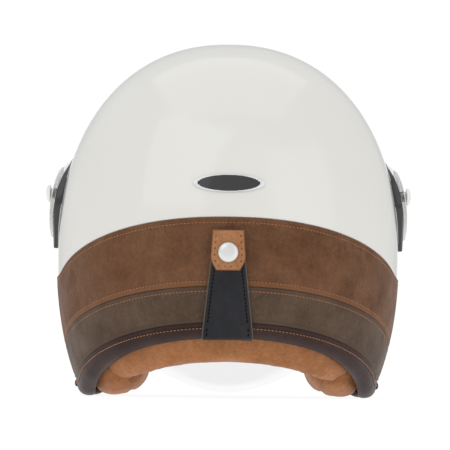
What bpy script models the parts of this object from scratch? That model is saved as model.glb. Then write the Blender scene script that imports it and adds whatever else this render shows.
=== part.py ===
"""Open face motorcycle helmet with a long clear shield and a leather band.

Frame: +Z up, +Y front (the shield side), +X the wearer's right hand side.
The helmet stands on the flat run of its lower edge, z = 0.
All constants are millimetres; meshes are written in metres.
"""
import math

import bmesh
import bpy
from mathutils import Matrix, Vector

MM = 0.001

# Shell form: a rounded superellipsoid with a nape that tucks in
POWER = 2.2
HALF_WIDTH = 126.0
REAR = 141.0
FRONT = 137.0
MID_Z = 105.0
RISE = 156.0
DROP = 176.0
NAPE_TUCK = 36.0
SHIFT_Y = -0.6

# Shell wall, leather recess and liner thicknesses (offsets from the form)
SHELL_WALL = 3.2
RECESS = 1.1
LEATHER_IN = -0.5
LEATHER_OUT = 0.6
TRIM_OUT = 1.3
TRIM_RETURN = -6.0
TRIM_FOOT = 3.6
SHELL_FOOT = 5.6
EPS_OUT = -4.2
EPS_IN = -32.0
PAD_OUT = -33.4
PAD_IN = -44.0
GAP = 0.3

# Heights of the edges over the run from front to rear: base, slope, start, ease
LOWER_EDGE = (0.0, 0.44, 25.0, 9.0)
SEAM_TWO = (12.3, 0.39, 24.4, 8.0)
SEAM_ONE = (37.0, 0.33, 7.8, 12.0)
BAND_TOP = (87.0, 0.37, 30.0, 12.0)
LINER_EDGE = (30.0, 0.24, 13.0, 10.0)
# All of them curve up toward the jaw corners: start, curvature
JAW_LIFT = (28.0, 0.0042)

# Face opening in the side view (y, z), from the brow down to the chin corner
FACE = ((170, 189), (146, 189), (122, 188), (98, 182), (79, 169), (67, 149),
        (61, 122), (61, 95), (67, 69), (75, 48), (80, 30), (82, 13), (82, -8))
FACE_TRIM = 7.5

# Shield and its pivots
PIVOT_Y = 10.0
PIVOT_Z = 150.3
SHIELD_A = 130.0
SHIELD_B = 141.0
SHIELD_B_REAR = 400.0
SHIELD_MID_Z = 125.0
SHIELD_UP = (118.0, 115.0)
SHIELD_DOWN = (260.0, 211.0)
SHIELD_THICK = 1.8
SHIELD_COLUMNS = 44
SHIELD_ROWS = 7
EAR = 20.0
EAR_BEZEL = (129.6, 100.0)
COVER_RADIUS = 26.5
COVER_AT = (5.0, -6.0)
KNOB_TOP = 136.8

# Goggle strap on the rear centre
FLAP_HINGE_Z = 49.5
FLAP_TOP_Z = 110.5
FLAP_HALF = (16.9, 9.9)
SNAP_Z = 99.0
SNAP_RADIUS = 6.9

# Chin strap
STRAP_Y = 8.0
STRAP_WIDTH = 24.0
STRAP_THICK = 1.4
RIVET_Z = 8.8

PARTS = None
CUTTERS = None


def wipe():
    for obj in list(bpy.data.objects):
        bpy.data.objects.remove(obj, do_unlink=True)


def collections():
    global PARTS, CUTTERS
    scene = bpy.context.scene.collection
    PARTS = bpy.data.collections.new("open_face_helmet")
    CUTTERS = bpy.data.collections.new("cutters")
    scene.children.link(PARTS)
    scene.children.link(CUTTERS)


# ---------------------------------------------------------------- form maths

def edge_height(edge, y):
    base, slope, start, ease = edge
    t = -y - start
    if t <= 0.0:
        ahead_of = min(max(y - JAW_LIFT[0], 0.0), 50.0)
        return base + JAW_LIFT[1] * ahead_of * ahead_of
    if t < 2.0 * ease:
        return base + slope * t * t / (4.0 * ease)
    return base + slope * (t - ease)


def form_value(x, y, z, off):
    """Value of the form grown by off: 1 on its surface."""
    length = REAR if y < 0.0 else FRONT
    height = RISE
    if z < MID_Z:
        level = x * x + y * y + 1e-9
        height = DROP - (NAPE_TUCK * y * y / level if y < 0.0 else 0.0)
    total = abs(x / (HALF_WIDTH + off)) ** POWER
    total += abs(y / (length + off)) ** POWER
    total += abs((z - MID_Z) / (height + off)) ** POWER
    return total


def form_radius(phi, z, off):
    """Level distance from the upright axis to the form; phi from the front."""
    s, c = math.sin(phi), math.cos(phi)
    length = REAR if c < 0.0 else FRONT
    height = RISE
    if z < MID_Z:
        height = DROP - (NAPE_TUCK * c * c if c < 0.0 else 0.0)
    left = 1.0 - abs((z - MID_Z) / (height + off)) ** POWER
    lean = abs(s / (HALF_WIDTH + off)) ** POWER + abs(c / (length + off)) ** POWER
    return (left / lean) ** (1.0 / POWER)


def form_x(y, z, off):
    """Half width of the form at a point of the side view."""
    x = HALF_WIDTH * 0.9
    for _ in range(6):
        phi = math.atan2(x, y)
        rho = form_radius(phi, z, off)
        x = x * (rho / math.hypot(x, y)) ** 1.0
        left = max(rho * rho - y * y, 1.0)
        x = 0.5 * x + 0.5 * math.sqrt(left)
    return x


def form_y(x, z, off):
    """Rear y of the form at a point of the rear view."""
    y = -REAR * 0.9
    for _ in range(8):
        height = RISE
        if z < MID_Z:
            height = DROP - NAPE_TUCK * y * y / (x * x + y * y)
        left = 1.0 - abs(x / (HALF_WIDTH + off)) ** POWER
        left -= abs((z - MID_Z) / (height + off)) ** POWER
        y = -(REAR + off) * max(left, 1e-4) ** (1.0 / POWER)
    return y


def shield_point(phi, z):
    """Inner face of the shield; phi from the front round the pivot's upright."""
    s, c = math.sin(phi), math.cos(phi)
    zz = z - SHIELD_MID_Z
    side, front = SHIELD_UP if zz > 0.0 else SHIELD_DOWN
    height = side + (front - side) * c * c
    left = 1.0 - abs(zz / height) ** POWER
    reach = SHIELD_B_REAR if c < 0.0 else SHIELD_B
    lean = abs(s / SHIELD_A) ** POWER + abs(c / reach) ** POWER
    rho = (left / lean) ** (1.0 / POWER)
    return Vector((rho * s, PIVOT_Y + rho * c, z))


def shield_x(y, z):
    phi = math.pi / 2.0
    for _ in range(8):
        point = shield_point(phi, z)
        phi = math.atan2(point.x, y - PIVOT_Y)
    return shield_point(phi, z).x


def catmull(points, steps):
    out = []
    count = len(points)
    for i in range(count - 1):
        p0 = Vector(points[max(i - 1, 0)])
        p1 = Vector(points[i])
        p2 = Vector(points[i + 1])
        p3 = Vector(points[min(i + 2, count - 1)])
        for k in range(steps):
            t = k / steps
            out.append(0.5 * ((2 * p1) + (p2 - p0) * t
                              + (2 * p0 - 5 * p1 + 4 * p2 - p3) * t * t
                              + (3 * p1 - p0 - 3 * p2 + p3) * t * t * t))
    out.append(Vector(points[-1]))
    return out


def face_curve(back):
    """The face opening line moved back from the opening by a distance."""
    curve = catmull(FACE, 2)
    out = []
    for i, point in enumerate(curve):
        before = curve[max(i - 1, 0)]
        after = curve[min(i + 1, len(curve) - 1)]
        run = (after - before).normalized()
        out.append((point.x + run.y * back, point.y - run.x * back))
    return out


# ------------------------------------------------------------ mesh building

def material(name, colour, rough=0.5, metal=0.0, through=0.0):
    mat = bpy.data.materials.new(name)
    mat.use_nodes = True
    shader = mat.node_tree.nodes["Principled BSDF"]
    shader.inputs["Base Color"].default_value = (*colour, 1.0)
    shader.inputs["Roughness"].default_value = rough
    shader.inputs["Metallic"].default_value = metal
    shader.inputs["Transmission Weight"].default_value = through
    mat.diffuse_color = (*colour, 1.0)
    return mat


def face_out(bm):
    """Turn every face outward; the signed volume settles the doubt."""
    bm.normal_update()
    bmesh.ops.recalc_face_normals(bm, faces=bm.faces)
    if bm.calc_volume(signed=True) < 0.0:
        bmesh.ops.reverse_faces(bm, faces=bm.faces)


def finish(name, bm, look, origin=None, smooth=35.0):
    """Write a bmesh given in millimetres as a named part."""
    at = Vector(origin) if origin else Vector((0.0, 0.0, 0.0))
    for vert in bm.verts:
        vert.co = (vert.co - at) * MM
    face_out(bm)
    mesh = bpy.data.meshes.new(name)
    bm.to_mesh(mesh)
    bm.free()
    obj = bpy.data.objects.new(name, mesh)
    obj.location = (at + Vector((0.0, SHIFT_Y, 0.0))) * MM
    PARTS.objects.link(obj)
    colour, rough, metal, through = look
    mesh.materials.append(material(name, colour, rough, metal, through))
    mesh.shade_smooth()
    mesh.set_sharp_from_angle(angle=math.radians(smooth))
    return obj


def cutter(name, bm, clip=None):
    for vert in bm.verts:
        vert.co = vert.co * MM
    face_out(bm)
    bmesh.ops.triangulate(bm, faces=bm.faces)
    mesh = bpy.data.meshes.new("cut_" + name)
    bm.to_mesh(mesh)
    bm.free()
    obj = bpy.data.objects.new("cut_" + name, mesh)
    obj.location = (0.0, SHIFT_Y * MM, 0.0)
    obj.hide_render = True
    obj.display_type = "WIRE"
    CUTTERS.objects.link(obj)
    for operation, other in clip or ():
        boolean(obj, operation, other)
    return obj


def boolean(obj, operation, other):
    mod = obj.modifiers.new(operation.lower(), "BOOLEAN")
    mod.operation = operation
    mod.solver = "EXACT"
    mod.object = other


def cut(obj, *others):
    triangulate(obj)
    for other in others:
        boolean(obj, "DIFFERENCE", other)


def triangulate(obj):
    """Flat faces only, so that a Boolean finds no warped ones."""
    bm = bmesh.new()
    bm.from_mesh(obj.data)
    bmesh.ops.triangulate(bm, faces=bm.faces)
    bm.to_mesh(obj.data)
    bm.free()


def blob(off, around, rings):
    """The closed form grown by off."""
    bm = bmesh.new()
    bmesh.ops.create_uvsphere(bm, u_segments=around, v_segments=rings, radius=1.0)
    for vert in bm.verts:
        x, y, z = vert.co * 100.0
        grow = form_value(x, y, z + MID_Z, off) ** (-1.0 / POWER)
        vert.co = Vector((x * grow, y * grow, z * grow + MID_Z))
    return bm


def side_prism(outline, half=170.0, x0=None):
    """A prism across the helmet from an outline in the side view."""
    bm = bmesh.new()
    start = -half if x0 is None else x0
    verts = [bm.verts.new((start, y, z)) for y, z in outline]
    face = bmesh.ops.contextual_create(bm, geom=verts)["faces"]
    out = bmesh.ops.extrude_face_region(bm, geom=face)
    moved = [v for v in out["geom"] if isinstance(v, bmesh.types.BMVert)]
    bmesh.ops.translate(bm, verts=moved, vec=(half - start, 0.0, 0.0))
    return bm


def edge_line(edge, lift, y0=-175.0, y1=175.0, steps=25):
    run = (y1 - y0) / steps
    return [(y0 + run * i, edge_height(edge, y0 + run * i) + lift)
            for i in range(steps + 1)]


def below(edge, lift):
    line = edge_line(edge, lift)
    return line + [(175.0, -160.0), (-175.0, -160.0)]


def between(low, low_lift, high, high_lift):
    return edge_line(low, low_lift) + edge_line(high, high_lift)[::-1]


def ahead(back):
    return face_curve(back) + [(260.0, -30.0), (260.0, 200.0)]


def loft(rings):
    """Closed loft through rings of equal point count."""
    bm = bmesh.new()
    rows = [[bm.verts.new(p) for p in ring] for ring in rings]
    count = len(rows[0])
    for a, b in zip(rows, rows[1:]):
        for i in range(count):
            j = (i + 1) % count
            bm.faces.new((a[i], a[j], b[j], b[i]))
    bm.faces.new(rows[0][::-1])
    bm.faces.new(rows[-1])
    return bm


def slab(nu, nv, point):
    """Closed slab: point(u, v, k) gives the near (0) and far (1) faces."""
    bm = bmesh.new()
    grid = []
    for k in (0, 1):
        layer = [[bm.verts.new(point(i / nu, j / nv, k)) for j in range(nv + 1)]
                 for i in range(nu + 1)]
        grid.append(layer)
    for k in (0, 1):
        g = grid[k]
        for i in range(nu):
            for j in range(nv):
                face = (g[i][j], g[i + 1][j], g[i + 1][j + 1], g[i][j + 1])
                bm.faces.new(face if k else face[::-1])
    a, b = grid
    for i in range(nu):
        bm.faces.new((a[i][0], a[i + 1][0], b[i + 1][0], b[i][0]))
        bm.faces.new((b[i][nv], b[i + 1][nv], a[i + 1][nv], a[i][nv]))
    for j in range(nv):
        bm.faces.new((b[0][j], b[0][j + 1], a[0][j + 1], a[0][j]))
        bm.faces.new((a[nu][j], a[nu][j + 1], b[nu][j + 1], b[nu][j]))
    return bm


def disc_map(u, v):
    """Square grid to round disc, without a pinched middle."""
    a, b = 2.0 * u - 1.0, 2.0 * v - 1.0
    return a * math.sqrt(1.0 - b * b / 2.0), b * math.sqrt(1.0 - a * a / 2.0)


def twin(obj, name, look):
    """Mirror image of a finished part across the middle plane."""
    bpy.context.view_layer.update()
    shape = obj.evaluated_get(bpy.context.evaluated_depsgraph_get())
    mesh = bpy.data.meshes.new_from_object(shape)
    bm = bmesh.new()
    bm.from_mesh(mesh)
    bmesh.ops.remove_doubles(bm, verts=bm.verts, dist=1e-6)
    for vert in bm.verts:
        vert.co /= MM
    finish(name, mirrored(bm), look)


def box(x0, x1, y0, y1, z0, z1):
    bm = bmesh.new()
    bmesh.ops.create_cube(bm, size=1.0)
    size = Vector((x1 - x0, y1 - y0, z1 - z0))
    mid = Vector((x1 + x0, y1 + y0, z1 + z0)) / 2.0
    for vert in bm.verts:
        vert.co = Vector((vert.co[i] * size[i] + mid[i] for i in range(3)))
    return bm


def rod(axis, at, radius, start, end, segments=16, radius_end=None, bm=None):
    """Round bar along X or Y; start and end are absolute on that axis."""
    bm = bm or bmesh.new()
    turn = Matrix.Rotation(math.pi / 2.0, 4, "Y" if axis == "x" else "X")
    if axis == "y":
        turn = Matrix.Rotation(-math.pi / 2.0, 4, "X")
    mid = (start + end) / 2.0
    place = (mid, at[0], at[1]) if axis == "x" else (at[0], mid, at[1])
    bmesh.ops.create_cone(
        bm, cap_ends=True, cap_tris=False, segments=segments,
        radius1=radius, radius2=radius if radius_end is None else radius_end,
        depth=end - start, matrix=Matrix.Translation(place) @ turn)
    return bm


def lathe(axis, at, profile, segments=16):
    """Turned piece: profile of (station, radius) along X or Y."""
    rings = []
    for station, radius in profile:
        ring = []
        for i in range(segments):
            t = 2.0 * math.pi * i / segments
            c, s = radius * math.cos(t), radius * math.sin(t)
            if axis == "x":
                ring.append((station, at[0] + c, at[1] + s))
            else:
                ring.append((at[0] + c, station, at[1] + s))
        rings.append(ring)
    return loft(rings)


def turned_ring(axis, at, profile, segments=16):
    """Turned piece with a bore: a closed profile of (station, radius)."""
    bm = bmesh.new()
    rows = []
    for i in range(segments):
        t = 2.0 * math.pi * i / segments
        row = []
        for station, radius in profile:
            c, s = radius * math.cos(t), radius * math.sin(t)
            if axis == "x":
                row.append(bm.verts.new((station, at[0] + c, at[1] + s)))
            else:
                row.append(bm.verts.new((at[0] + c, station, at[1] + s)))
        rows.append(row)
    for a, b in zip(rows, rows[1:] + rows[:1]):
        for i in range(len(profile)):
            j = (i + 1) % len(profile)
            bm.faces.new((a[i], a[j], b[j], b[i]))
    return bm


def mirrored(bm):
    for vert in bm.verts:
        vert.co.x = -vert.co.x
    return bm


# --------------------------------------------------------------- main parts

CREAM = ((0.74, 0.73, 0.69), 0.12, 0.0, 0.0)
BROWN_UPPER = ((0.165, 0.080, 0.045), 0.6, 0.0, 0.0)
BROWN_MIDDLE = ((0.115, 0.077, 0.050), 0.6, 0.0, 0.0)
BROWN_TRIM = ((0.050, 0.029, 0.025), 0.5, 0.0, 0.0)
TAN = ((0.36, 0.155, 0.070), 0.6, 0.0, 0.0)
TAN_TAB = ((0.37, 0.165, 0.070), 0.6, 0.0, 0.0)
BLACK = ((0.020, 0.020, 0.022), 0.45, 0.0, 0.0)
WEB = ((0.025, 0.025, 0.028), 0.8, 0.0, 0.0)
FOAM = ((0.055, 0.055, 0.060), 0.9, 0.0, 0.0)
STEEL = ((0.62, 0.63, 0.65), 0.25, 1.0, 0.0)
CLEAR = ((0.92, 0.94, 0.95), 0.02, 0.0, 0.9)
RED = ((0.50, 0.030, 0.025), 0.7, 0.0, 0.0)


def face_y(back):
    """The y of the face opening line at a height below the brow."""
    line = [point for point in face_curve(back) if point[1] < 160.0]

    def at(z):
        for (y0, z0), (y1, z1) in zip(line, line[1:]):
            if z1 <= z <= z0:
                return y1 + (y0 - y1) * (z - z1) / (z0 - z1)
        return line[0][0] if z > line[0][1] else line[-1][0]
    return at


def around(u, height, end, off):
    """Point on the form, u running from the left front end round the rear."""
    z = height(-40.0)
    for _ in range(9):
        stop = end(z)
        phi = 1.0
        for _ in range(7):
            phi = math.acos(min(0.98, stop / form_radius(phi, z, off)))
        phi = phi + (2.0 * math.pi - 2.0 * phi) * u
        rho = form_radius(phi, z, off)
        z = height(rho * math.cos(phi))
    return Vector((-rho * math.sin(phi), rho * math.cos(phi), z))


def level(edge, lift=0.0):
    return lambda y: edge_height(edge, y) + lift


def mix(low, high, t):
    return lambda y: low(y) * (1.0 - t) + high(y) * t


def ring_slab(low, high, end, near, far, cols, rows):
    """Curved strip lying on the form between two edge lines."""
    def at(u, v, k):
        return around(u, mix(low, high, v), end, far if k else near)
    return slab(cols, rows, at)


def dome_ring(count, height, off):
    """Closed ring of points on the form at a height that follows y."""
    ring = []
    for i in range(count):
        phi = 2.0 * math.pi * i / count
        z = height(0.0)
        for _ in range(12):
            rho = form_radius(phi, z, off)
            z = height(rho * math.cos(phi))
        ring.append((rho * math.sin(phi), rho * math.cos(phi), z))
    return ring


def dome_rings(count, base, off, steps):
    """Rings from a base line up toward the crown, without the crown point."""
    top = MID_Z + RISE + off
    rings = []
    for k in range(1, steps):
        w = math.sin(math.pi / 2.0 * k / steps)
        rings.append(dome_ring(count, mix(base, lambda y: top, w), off))
    return rings, (0.0, 0.0, top)


def dome(outer, outer_top, inner, inner_top):
    """Closed cap from outer and inner rings that share a count."""
    bm = bmesh.new()
    loops = []
    for rings, top in ((outer, outer_top), (inner, inner_top)):
        rows = [[bm.verts.new(p) for p in ring] for ring in rings]
        tip = bm.verts.new(top)
        count = len(rows[0])
        for a, b in zip(rows, rows[1:]):
            for i in range(count):
                j = (i + 1) % count
                bm.faces.new((a[i], a[j], b[j], b[i]))
        for i in range(count):
            bm.faces.new((rows[-1][i], rows[-1][(i + 1) % count], tip))
        loops.append(rows[0])
    a, b = loops
    for i in range(len(a)):
        j = (i + 1) % len(a)
        bm.faces.new((a[i], a[j], b[j], b[i]))
    bmesh.ops.triangulate(bm, faces=bm.faces)
    return bm


def outer_shell(holes):
    foot = level(LOWER_EDGE, SHELL_FOOT)
    lip = level(BAND_TOP, GAP)
    count = 50
    outer = [dome_ring(count, mix(foot, lip, t), -RECESS) for t in (0, 0.33, 0.67, 1)]
    outer.append(dome_ring(count, lip, 0.0))
    more, top = dome_rings(count, lip, 0.0, 11)
    steps = (0, 0.25, 0.5, 0.75, 1)
    inner = [dome_ring(count, mix(foot, lip, t), -SHELL_WALL) for t in steps]
    inside, inner_top = dome_rings(count, lip, -SHELL_WALL, 9)
    shell = finish("outer_shell", dome(outer + more, top, inner + inside, inner_top),
                   CREAM)
    cut(shell, cutter("shell_face", side_prism(ahead(3.6))), *holes)


def tucked(off, lift):
    """Height of the lower edge carried level inward from the outside."""
    return lambda y: edge_height(LOWER_EDGE, y * (1.0 - off / 125.0)) + lift


def leather_parts(stud_hole, rivet_holes):
    end = face_y(FACE_TRIM + 0.6)
    upper = finish("upper_leather_band", ring_slab(
        level(SEAM_ONE, GAP / 2.0), level(BAND_TOP), end,
        LEATHER_IN, LEATHER_OUT, 46, 3), BROWN_UPPER)
    cut(upper, stud_hole)
    finish("middle_leather_band", ring_slab(
        level(SEAM_TWO, GAP), level(SEAM_ONE, -GAP), end,
        LEATHER_IN, LEATHER_OUT, 46, 2), BROWN_MIDDLE)

    tip = face_y(0.6)
    low, high = level(LOWER_EDGE), level(SEAM_TWO, -GAP)
    slot = level(LOWER_EDGE, TRIM_FOOT)
    section = ((LEATHER_IN, high), (TRIM_OUT - 0.5, high),
               (TRIM_OUT, mix(low, high, 0.93)), (TRIM_OUT, mix(low, high, 0.45)),
               (TRIM_OUT, mix(low, high, 0.16)), (TRIM_OUT - 1.4, low),
               (TRIM_RETURN + 1.2, tucked(TRIM_RETURN + 1.2, 0.0)),
               (TRIM_RETURN, tucked(TRIM_RETURN, 1.2)),
               (TRIM_RETURN, tucked(TRIM_RETURN, TRIM_FOOT)), (LEATHER_IN, slot))
    rings = []
    for i in range(47):
        rings.append([around(i / 46, height, tip, off) for off, height in section])
    trim = finish("lower_edge_trim", loft(rings), BROWN_TRIM)
    cut(trim, *rivet_holes)


def face_path():
    """Points and frames along the face opening, left foot to right foot."""
    points = []
    foot = edge_height(SEAM_TWO, face_y(0.2)(20.0)) + 3.7
    curve = [point for point in face_curve(0.2) if point[0] < 92.0 and point[1] > foot + 0.5]
    curve.append((face_y(0.2)(foot), foot))
    for y, z in curve:
        points.append(Vector((form_x(y, z, 0.0), y, z)))
    first = points[0]
    phi0 = math.atan2(first.x, first.y)
    brow = []
    line = face_curve(0.2)
    for i in range(1, 13):
        phi = phi0 * (1.0 - i / 12)
        z = first.z
        for _ in range(10):
            y = form_radius(phi, z, 0.0) * math.cos(phi)
            for (ya, za), (yb, zb) in zip(line, line[1:]):
                if yb <= y <= ya and za > 100.0:
                    z = zb + (za - zb) * (y - yb) / (ya - yb)
                    break
        rho = form_radius(phi, z, 0.0)
        brow.append(Vector((rho * math.sin(phi), rho * math.cos(phi), z)))
    half = points[::-1] + brow
    left = [Vector((-p.x, p.y, p.z)) for p in half]
    return left + half[:-1][::-1]


def form_normal(p):
    d = 0.05
    base = form_value(p.x, p.y, p.z, 0.0)
    out = Vector((form_value(p.x + d, p.y, p.z, 0.0) - base,
                  form_value(p.x, p.y + d, p.z, 0.0) - base,
                  form_value(p.x, p.y, p.z + d, 0.0) - base))
    return out.normalized()


def face_edge():
    section = ((0.5, FACE_TRIM), (1.5, FACE_TRIM), (1.9, FACE_TRIM - 0.6), (1.9, 1.2),
               (1.0, 0.1), (-5.0, 0.1), (-6.0, 1.2), (-6.0, FACE_TRIM),
               (-4.7, FACE_TRIM), (-4.7, 1.6), (0.5, 1.6))
    path = face_path()
    rings = []
    for i, p in enumerate(path):
        run = path[min(i + 1, len(path) - 1)] - path[max(i - 1, 0)]
        out = form_normal(p)
        back = run.cross(out).normalized()
        if i in (0, len(path) - 1):
            back = Vector((0.0, -1.0, 0.0))
            back = (back - out * back.dot(out)).normalized()
        rings.append([p + out * off + back * dist for off, dist in section])
    finish("face_edge_trim", loft(rings), BLACK)


def liner_parts(pockets):
    count = 36
    foot = level(LINER_EDGE)
    line = level((100.0, 0.0, 0.0, 1.0))
    steps = (0, 0.25, 0.5, 0.75, 1)
    outer = [dome_ring(count, mix(foot, line, t), EPS_OUT) for t in steps]
    more, top = dome_rings(count, line, EPS_OUT, 8)
    inner = [dome_ring(count, mix(foot, line, t), EPS_IN) for t in steps]
    inside, inner_top = dome_rings(count, line, EPS_IN, 7)
    eps = finish("impact_liner", dome(outer + more, top, inner + inside, inner_top),
                 FOAM)
    cut(eps, cutter("eps_face", side_prism(ahead(FACE_TRIM + 2.8))), *pockets)

    def brow(y):
        t = min(max((y - 30.0) / 50.0, 0.0), 1.0)
        return 154.0 + 41.0 * t * t * (3.0 - 2.0 * t)
    count = 32
    outer, top = dome_rings(count, brow, PAD_OUT, 6)
    inner, inner_top = dome_rings(count, brow, PAD_IN, 6)
    rim = [dome_ring(count, lambda y: brow(y) + 2.0, PAD_OUT)]
    rim_in = [dome_ring(count, lambda y: brow(y) + 4.0, PAD_IN)]
    rim_low = [dome_ring(count, brow, PAD_OUT - 4.0)]
    finish("crown_pad", dome(rim_low + rim + outer, top, rim_in + inner, inner_top),
           TAN)

    def band_low(y):
        t = min(max((y + 66.0) / 34.0, 0.0), 1.0)
        return 83.0 + 23.0 * t * t * (3.0 - 2.0 * t)
    high = level((151.0, 0.0, 0.0, 1.0))
    section = ((PAD_OUT, mix(band_low, high, 0.03)), (PAD_OUT - 3.5, band_low),
               (PAD_IN + 3.0, band_low), (PAD_IN, mix(band_low, high, 0.08)),
               (PAD_IN, mix(band_low, high, 0.5)), (PAD_IN, mix(band_low, high, 0.92)),
               (PAD_IN + 3.0, high), (PAD_OUT - 3.5, high),
               (PAD_OUT, mix(band_low, high, 0.97)),
               (PAD_OUT, mix(band_low, high, 0.5)))
    rings = [[around(i / 30, height, lambda z: 40.0 + 0.06 * (z - 106.0), off)
              for off, height in section] for i in range(31)]
    finish("temple_band", loft(rings), TAN)


PAD_PLANE = 60.0
PAD_TOP = 93.0
NECK_OUT = -7.4


def liner_gap(phi, off):
    """Height just under the foam liner at a distance from the form."""
    z = 30.0
    for _ in range(6):
        y = form_radius(phi, z, off) * math.cos(phi)
        z = edge_height(LINER_EDGE, y) - 1.0
    return z


def pad_section(phi, squeeze):
    """Cheek pad section on an upright plane turned phi from the front."""
    s = abs(math.sin(phi))
    zb = 1.0
    for _ in range(5):
        y = form_radius(phi, zb, -22.0) * math.cos(phi)
        zb = 1.0 + (0.95 if y < 0.0 else 0.45) * edge_height(LOWER_EDGE, y)
    rin = PAD_PLANE / s
    top = PAD_TOP - squeeze * 26.0
    edge_z, wall_z = liner_gap(phi, -9.6), liner_gap(phi, PAD_OUT)
    back = form_radius(phi, top, PAD_OUT) - 0.6
    wall = form_radius(phi, wall_z + 8.0, PAD_OUT) - 0.6
    return [
        (form_radius(phi, zb + 1.0, -9.6) - 3.0, zb + 1.6),
        (form_radius(phi, zb + 1.0, -9.6) - 12.0, zb), (rin + 20.0, zb + 0.5),
        (rin + 9.0, zb + 3.5), (rin + 3.5, zb + 9.5), (rin, zb + 20.0),
        (rin, top - 24.0), (rin + 3.0, top - 7.0), (rin + 10.0, top - 0.5),
        (back - 5.0, top), (back, top - 6.0), (wall, wall_z + 8.0),
        (form_radius(phi, wall_z, PAD_OUT) - 0.4, wall_z),
        (form_radius(phi, edge_z, -9.6) - 0.4, edge_z),
        (form_radius(phi, zb + 6.0, -9.6) - 0.4, zb + 6.0)]


def ring_at(phi, line, side):
    s, c = math.sin(phi), math.cos(phi)
    return [(side * r * s, r * c, z) for r, z in line]


def shrink(line, amount):
    """Draw a section in toward its middle to round off a loft end."""
    rm = sum(p[0] for p in line) / len(line)
    zm = sum(p[1] for p in line) / len(line)
    return [(rm + (r - rm) * amount, zm + (z - zm) * amount) for r, z in line]


def cheek_pad(name, side, channel):
    stations = ((46.5, 1.0, 0.80), (48, 1.0, 0.95), (51, 0.85, 1), (57, 0.5, 1),
                (65, 0.2, 1), (74, 0, 1), (86, 0, 1), (98, 0.1, 1), (110, 0.35, 1),
                (119, 0.7, 1), (123.5, 0.9, 0.96), (125.0, 1.0, 0.84))
    rings = []
    for degrees, squeeze, amount in stations:
        phi = math.radians(degrees)
        line = shrink(pad_section(phi, squeeze), amount)
        rings.append(ring_at(phi, line, side))
    pad = finish(name, loft(rings), TAN)
    cut(pad, channel)
    return pad


def neck_section(phi):
    s, c = abs(math.sin(phi)), math.cos(phi)
    zb = 24.5 - 12.0 * min(1.0, (96.0 * s / 66.0) ** 2)
    low = form_radius(phi, 42.0, NECK_OUT)
    edge_z, wall_z = liner_gap(phi, NECK_OUT), liner_gap(phi, PAD_OUT)
    brim = max(edge_height(LOWER_EDGE, low * c * 1.06) - 1.5, zb + 7.0)
    rin = form_radius(phi, 60.0, -46.0)
    top = 79.0
    wall = form_radius(phi, wall_z + 3.0, PAD_OUT) - 0.8
    edge = form_radius(phi, brim, NECK_OUT) - 0.4
    return [
        (edge, brim), (edge - 3.0, zb + 3.5), (edge - 9.0, zb + 0.6),
        ((edge + rin) / 2.0, zb), (rin + 7.0, zb + 2.5), (rin + 1.5, zb + 9.0),
        (rin, zb + 20.0), (rin + 0.5, top - 14.0), (rin + 3.5, top - 3.5),
        (rin + 8.0, top), (form_radius(phi, top, PAD_OUT) - 2.0, top - 2.0),
        (wall, wall_z + 3.0), (wall - 0.4, wall_z),
        (form_radius(phi, edge_z, NECK_OUT) - 0.4, edge_z)]


def neck_roll():
    rings = []
    stations = (126.5, 128, 133, 140, 148, 157, 166, 174, 180)
    order = [180.0 + (180.0 - d) for d in stations[:-1]]
    for degrees in list(stations) + order[::-1]:
        phi = math.radians(degrees)
        line = neck_section(phi)
        if degrees in (126.5, 233.5):
            line = shrink(line, 0.90)
        rings.append([(r * math.sin(phi), r * math.cos(phi), z) for r, z in line])
    finish("neck_roll", loft(rings), TAN)


# ------------------------------------------------------------------- shield

def shield_columns(s):
    """Bottom and top heights and azimuth for s = 0 (ear) to 1 (front)."""
    if s < 0.16:
        theta = math.radians(165.0 - 75.0 * (s / 0.16))
        lean = EAR * math.cos(theta)
        phi = math.atan2(SHIELD_A, lean)
        return phi, PIVOT_Z - EAR * math.sin(theta), PIVOT_Z + EAR * math.sin(theta)
    phi = (math.pi / 2.0) * (1.0 - (s - 0.16) / 0.84)
    c = math.cos(phi)
    low = 2.0 + (PIVOT_Z - EAR - 2.0) * (1.0 - c ** 1.5)
    high = PIVOT_Z + EAR + 38.7 * c
    return phi, low, high


def shield_grid(u, v, k):
    side = -1.0 if u < 0.5 else 1.0
    s = 1.0 - abs(2.0 * u - 1.0)
    phi, low, high = shield_columns(s)
    z = low + (high - low) * v
    point = shield_point(phi, z)
    if k:
        d = 0.01
        a = shield_point(phi + d, z) - point
        b = shield_point(phi, z + d) - point
        out = a.cross(b).normalized()
        if out.x * point.x + out.y * (point.y - PIVOT_Y) < 0.0:
            out = -out
        point = point + out * SHIELD_THICK
    return Vector((side * point.x, point.y, point.z))


def shield_parts(pivot):
    shield = finish("clear_shield", slab(SHIELD_COLUMNS, SHIELD_ROWS, shield_grid),
                    CLEAR, origin=pivot)
    for side, label in ((-1.0, "left"), (1.0, "right")):
        hole = rod("x", (PIVOT_Y, PIVOT_Z), 4.4, 118.0, 140.0)
        cutter_bm = mirrored(hole) if side < 0 else hole
        hole_cut = cutter("shield_hole_" + label, cutter_bm)
        cut(shield, hole_cut)

        def cover_point(u, v, k):
            a, b = disc_map(u, v)
            y = PIVOT_Y + COVER_AT[0] + a * COVER_RADIUS
            z = PIVOT_Z + COVER_AT[1] + b * COVER_RADIUS
            x = shield_x(y, z) + SHIELD_THICK + 0.45
            fall = max(0.0, 1.0 - a * a - b * b)
            dome = 0.7 + 0.9 * fall ** 0.8 if k else 0.0
            return Vector((side * (x + dome), y, z))

        cover = finish("side_cover_" + label, slab(8, 8, cover_point), CREAM,
                       origin=pivot)
        cut(cover, hole_cut)


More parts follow.
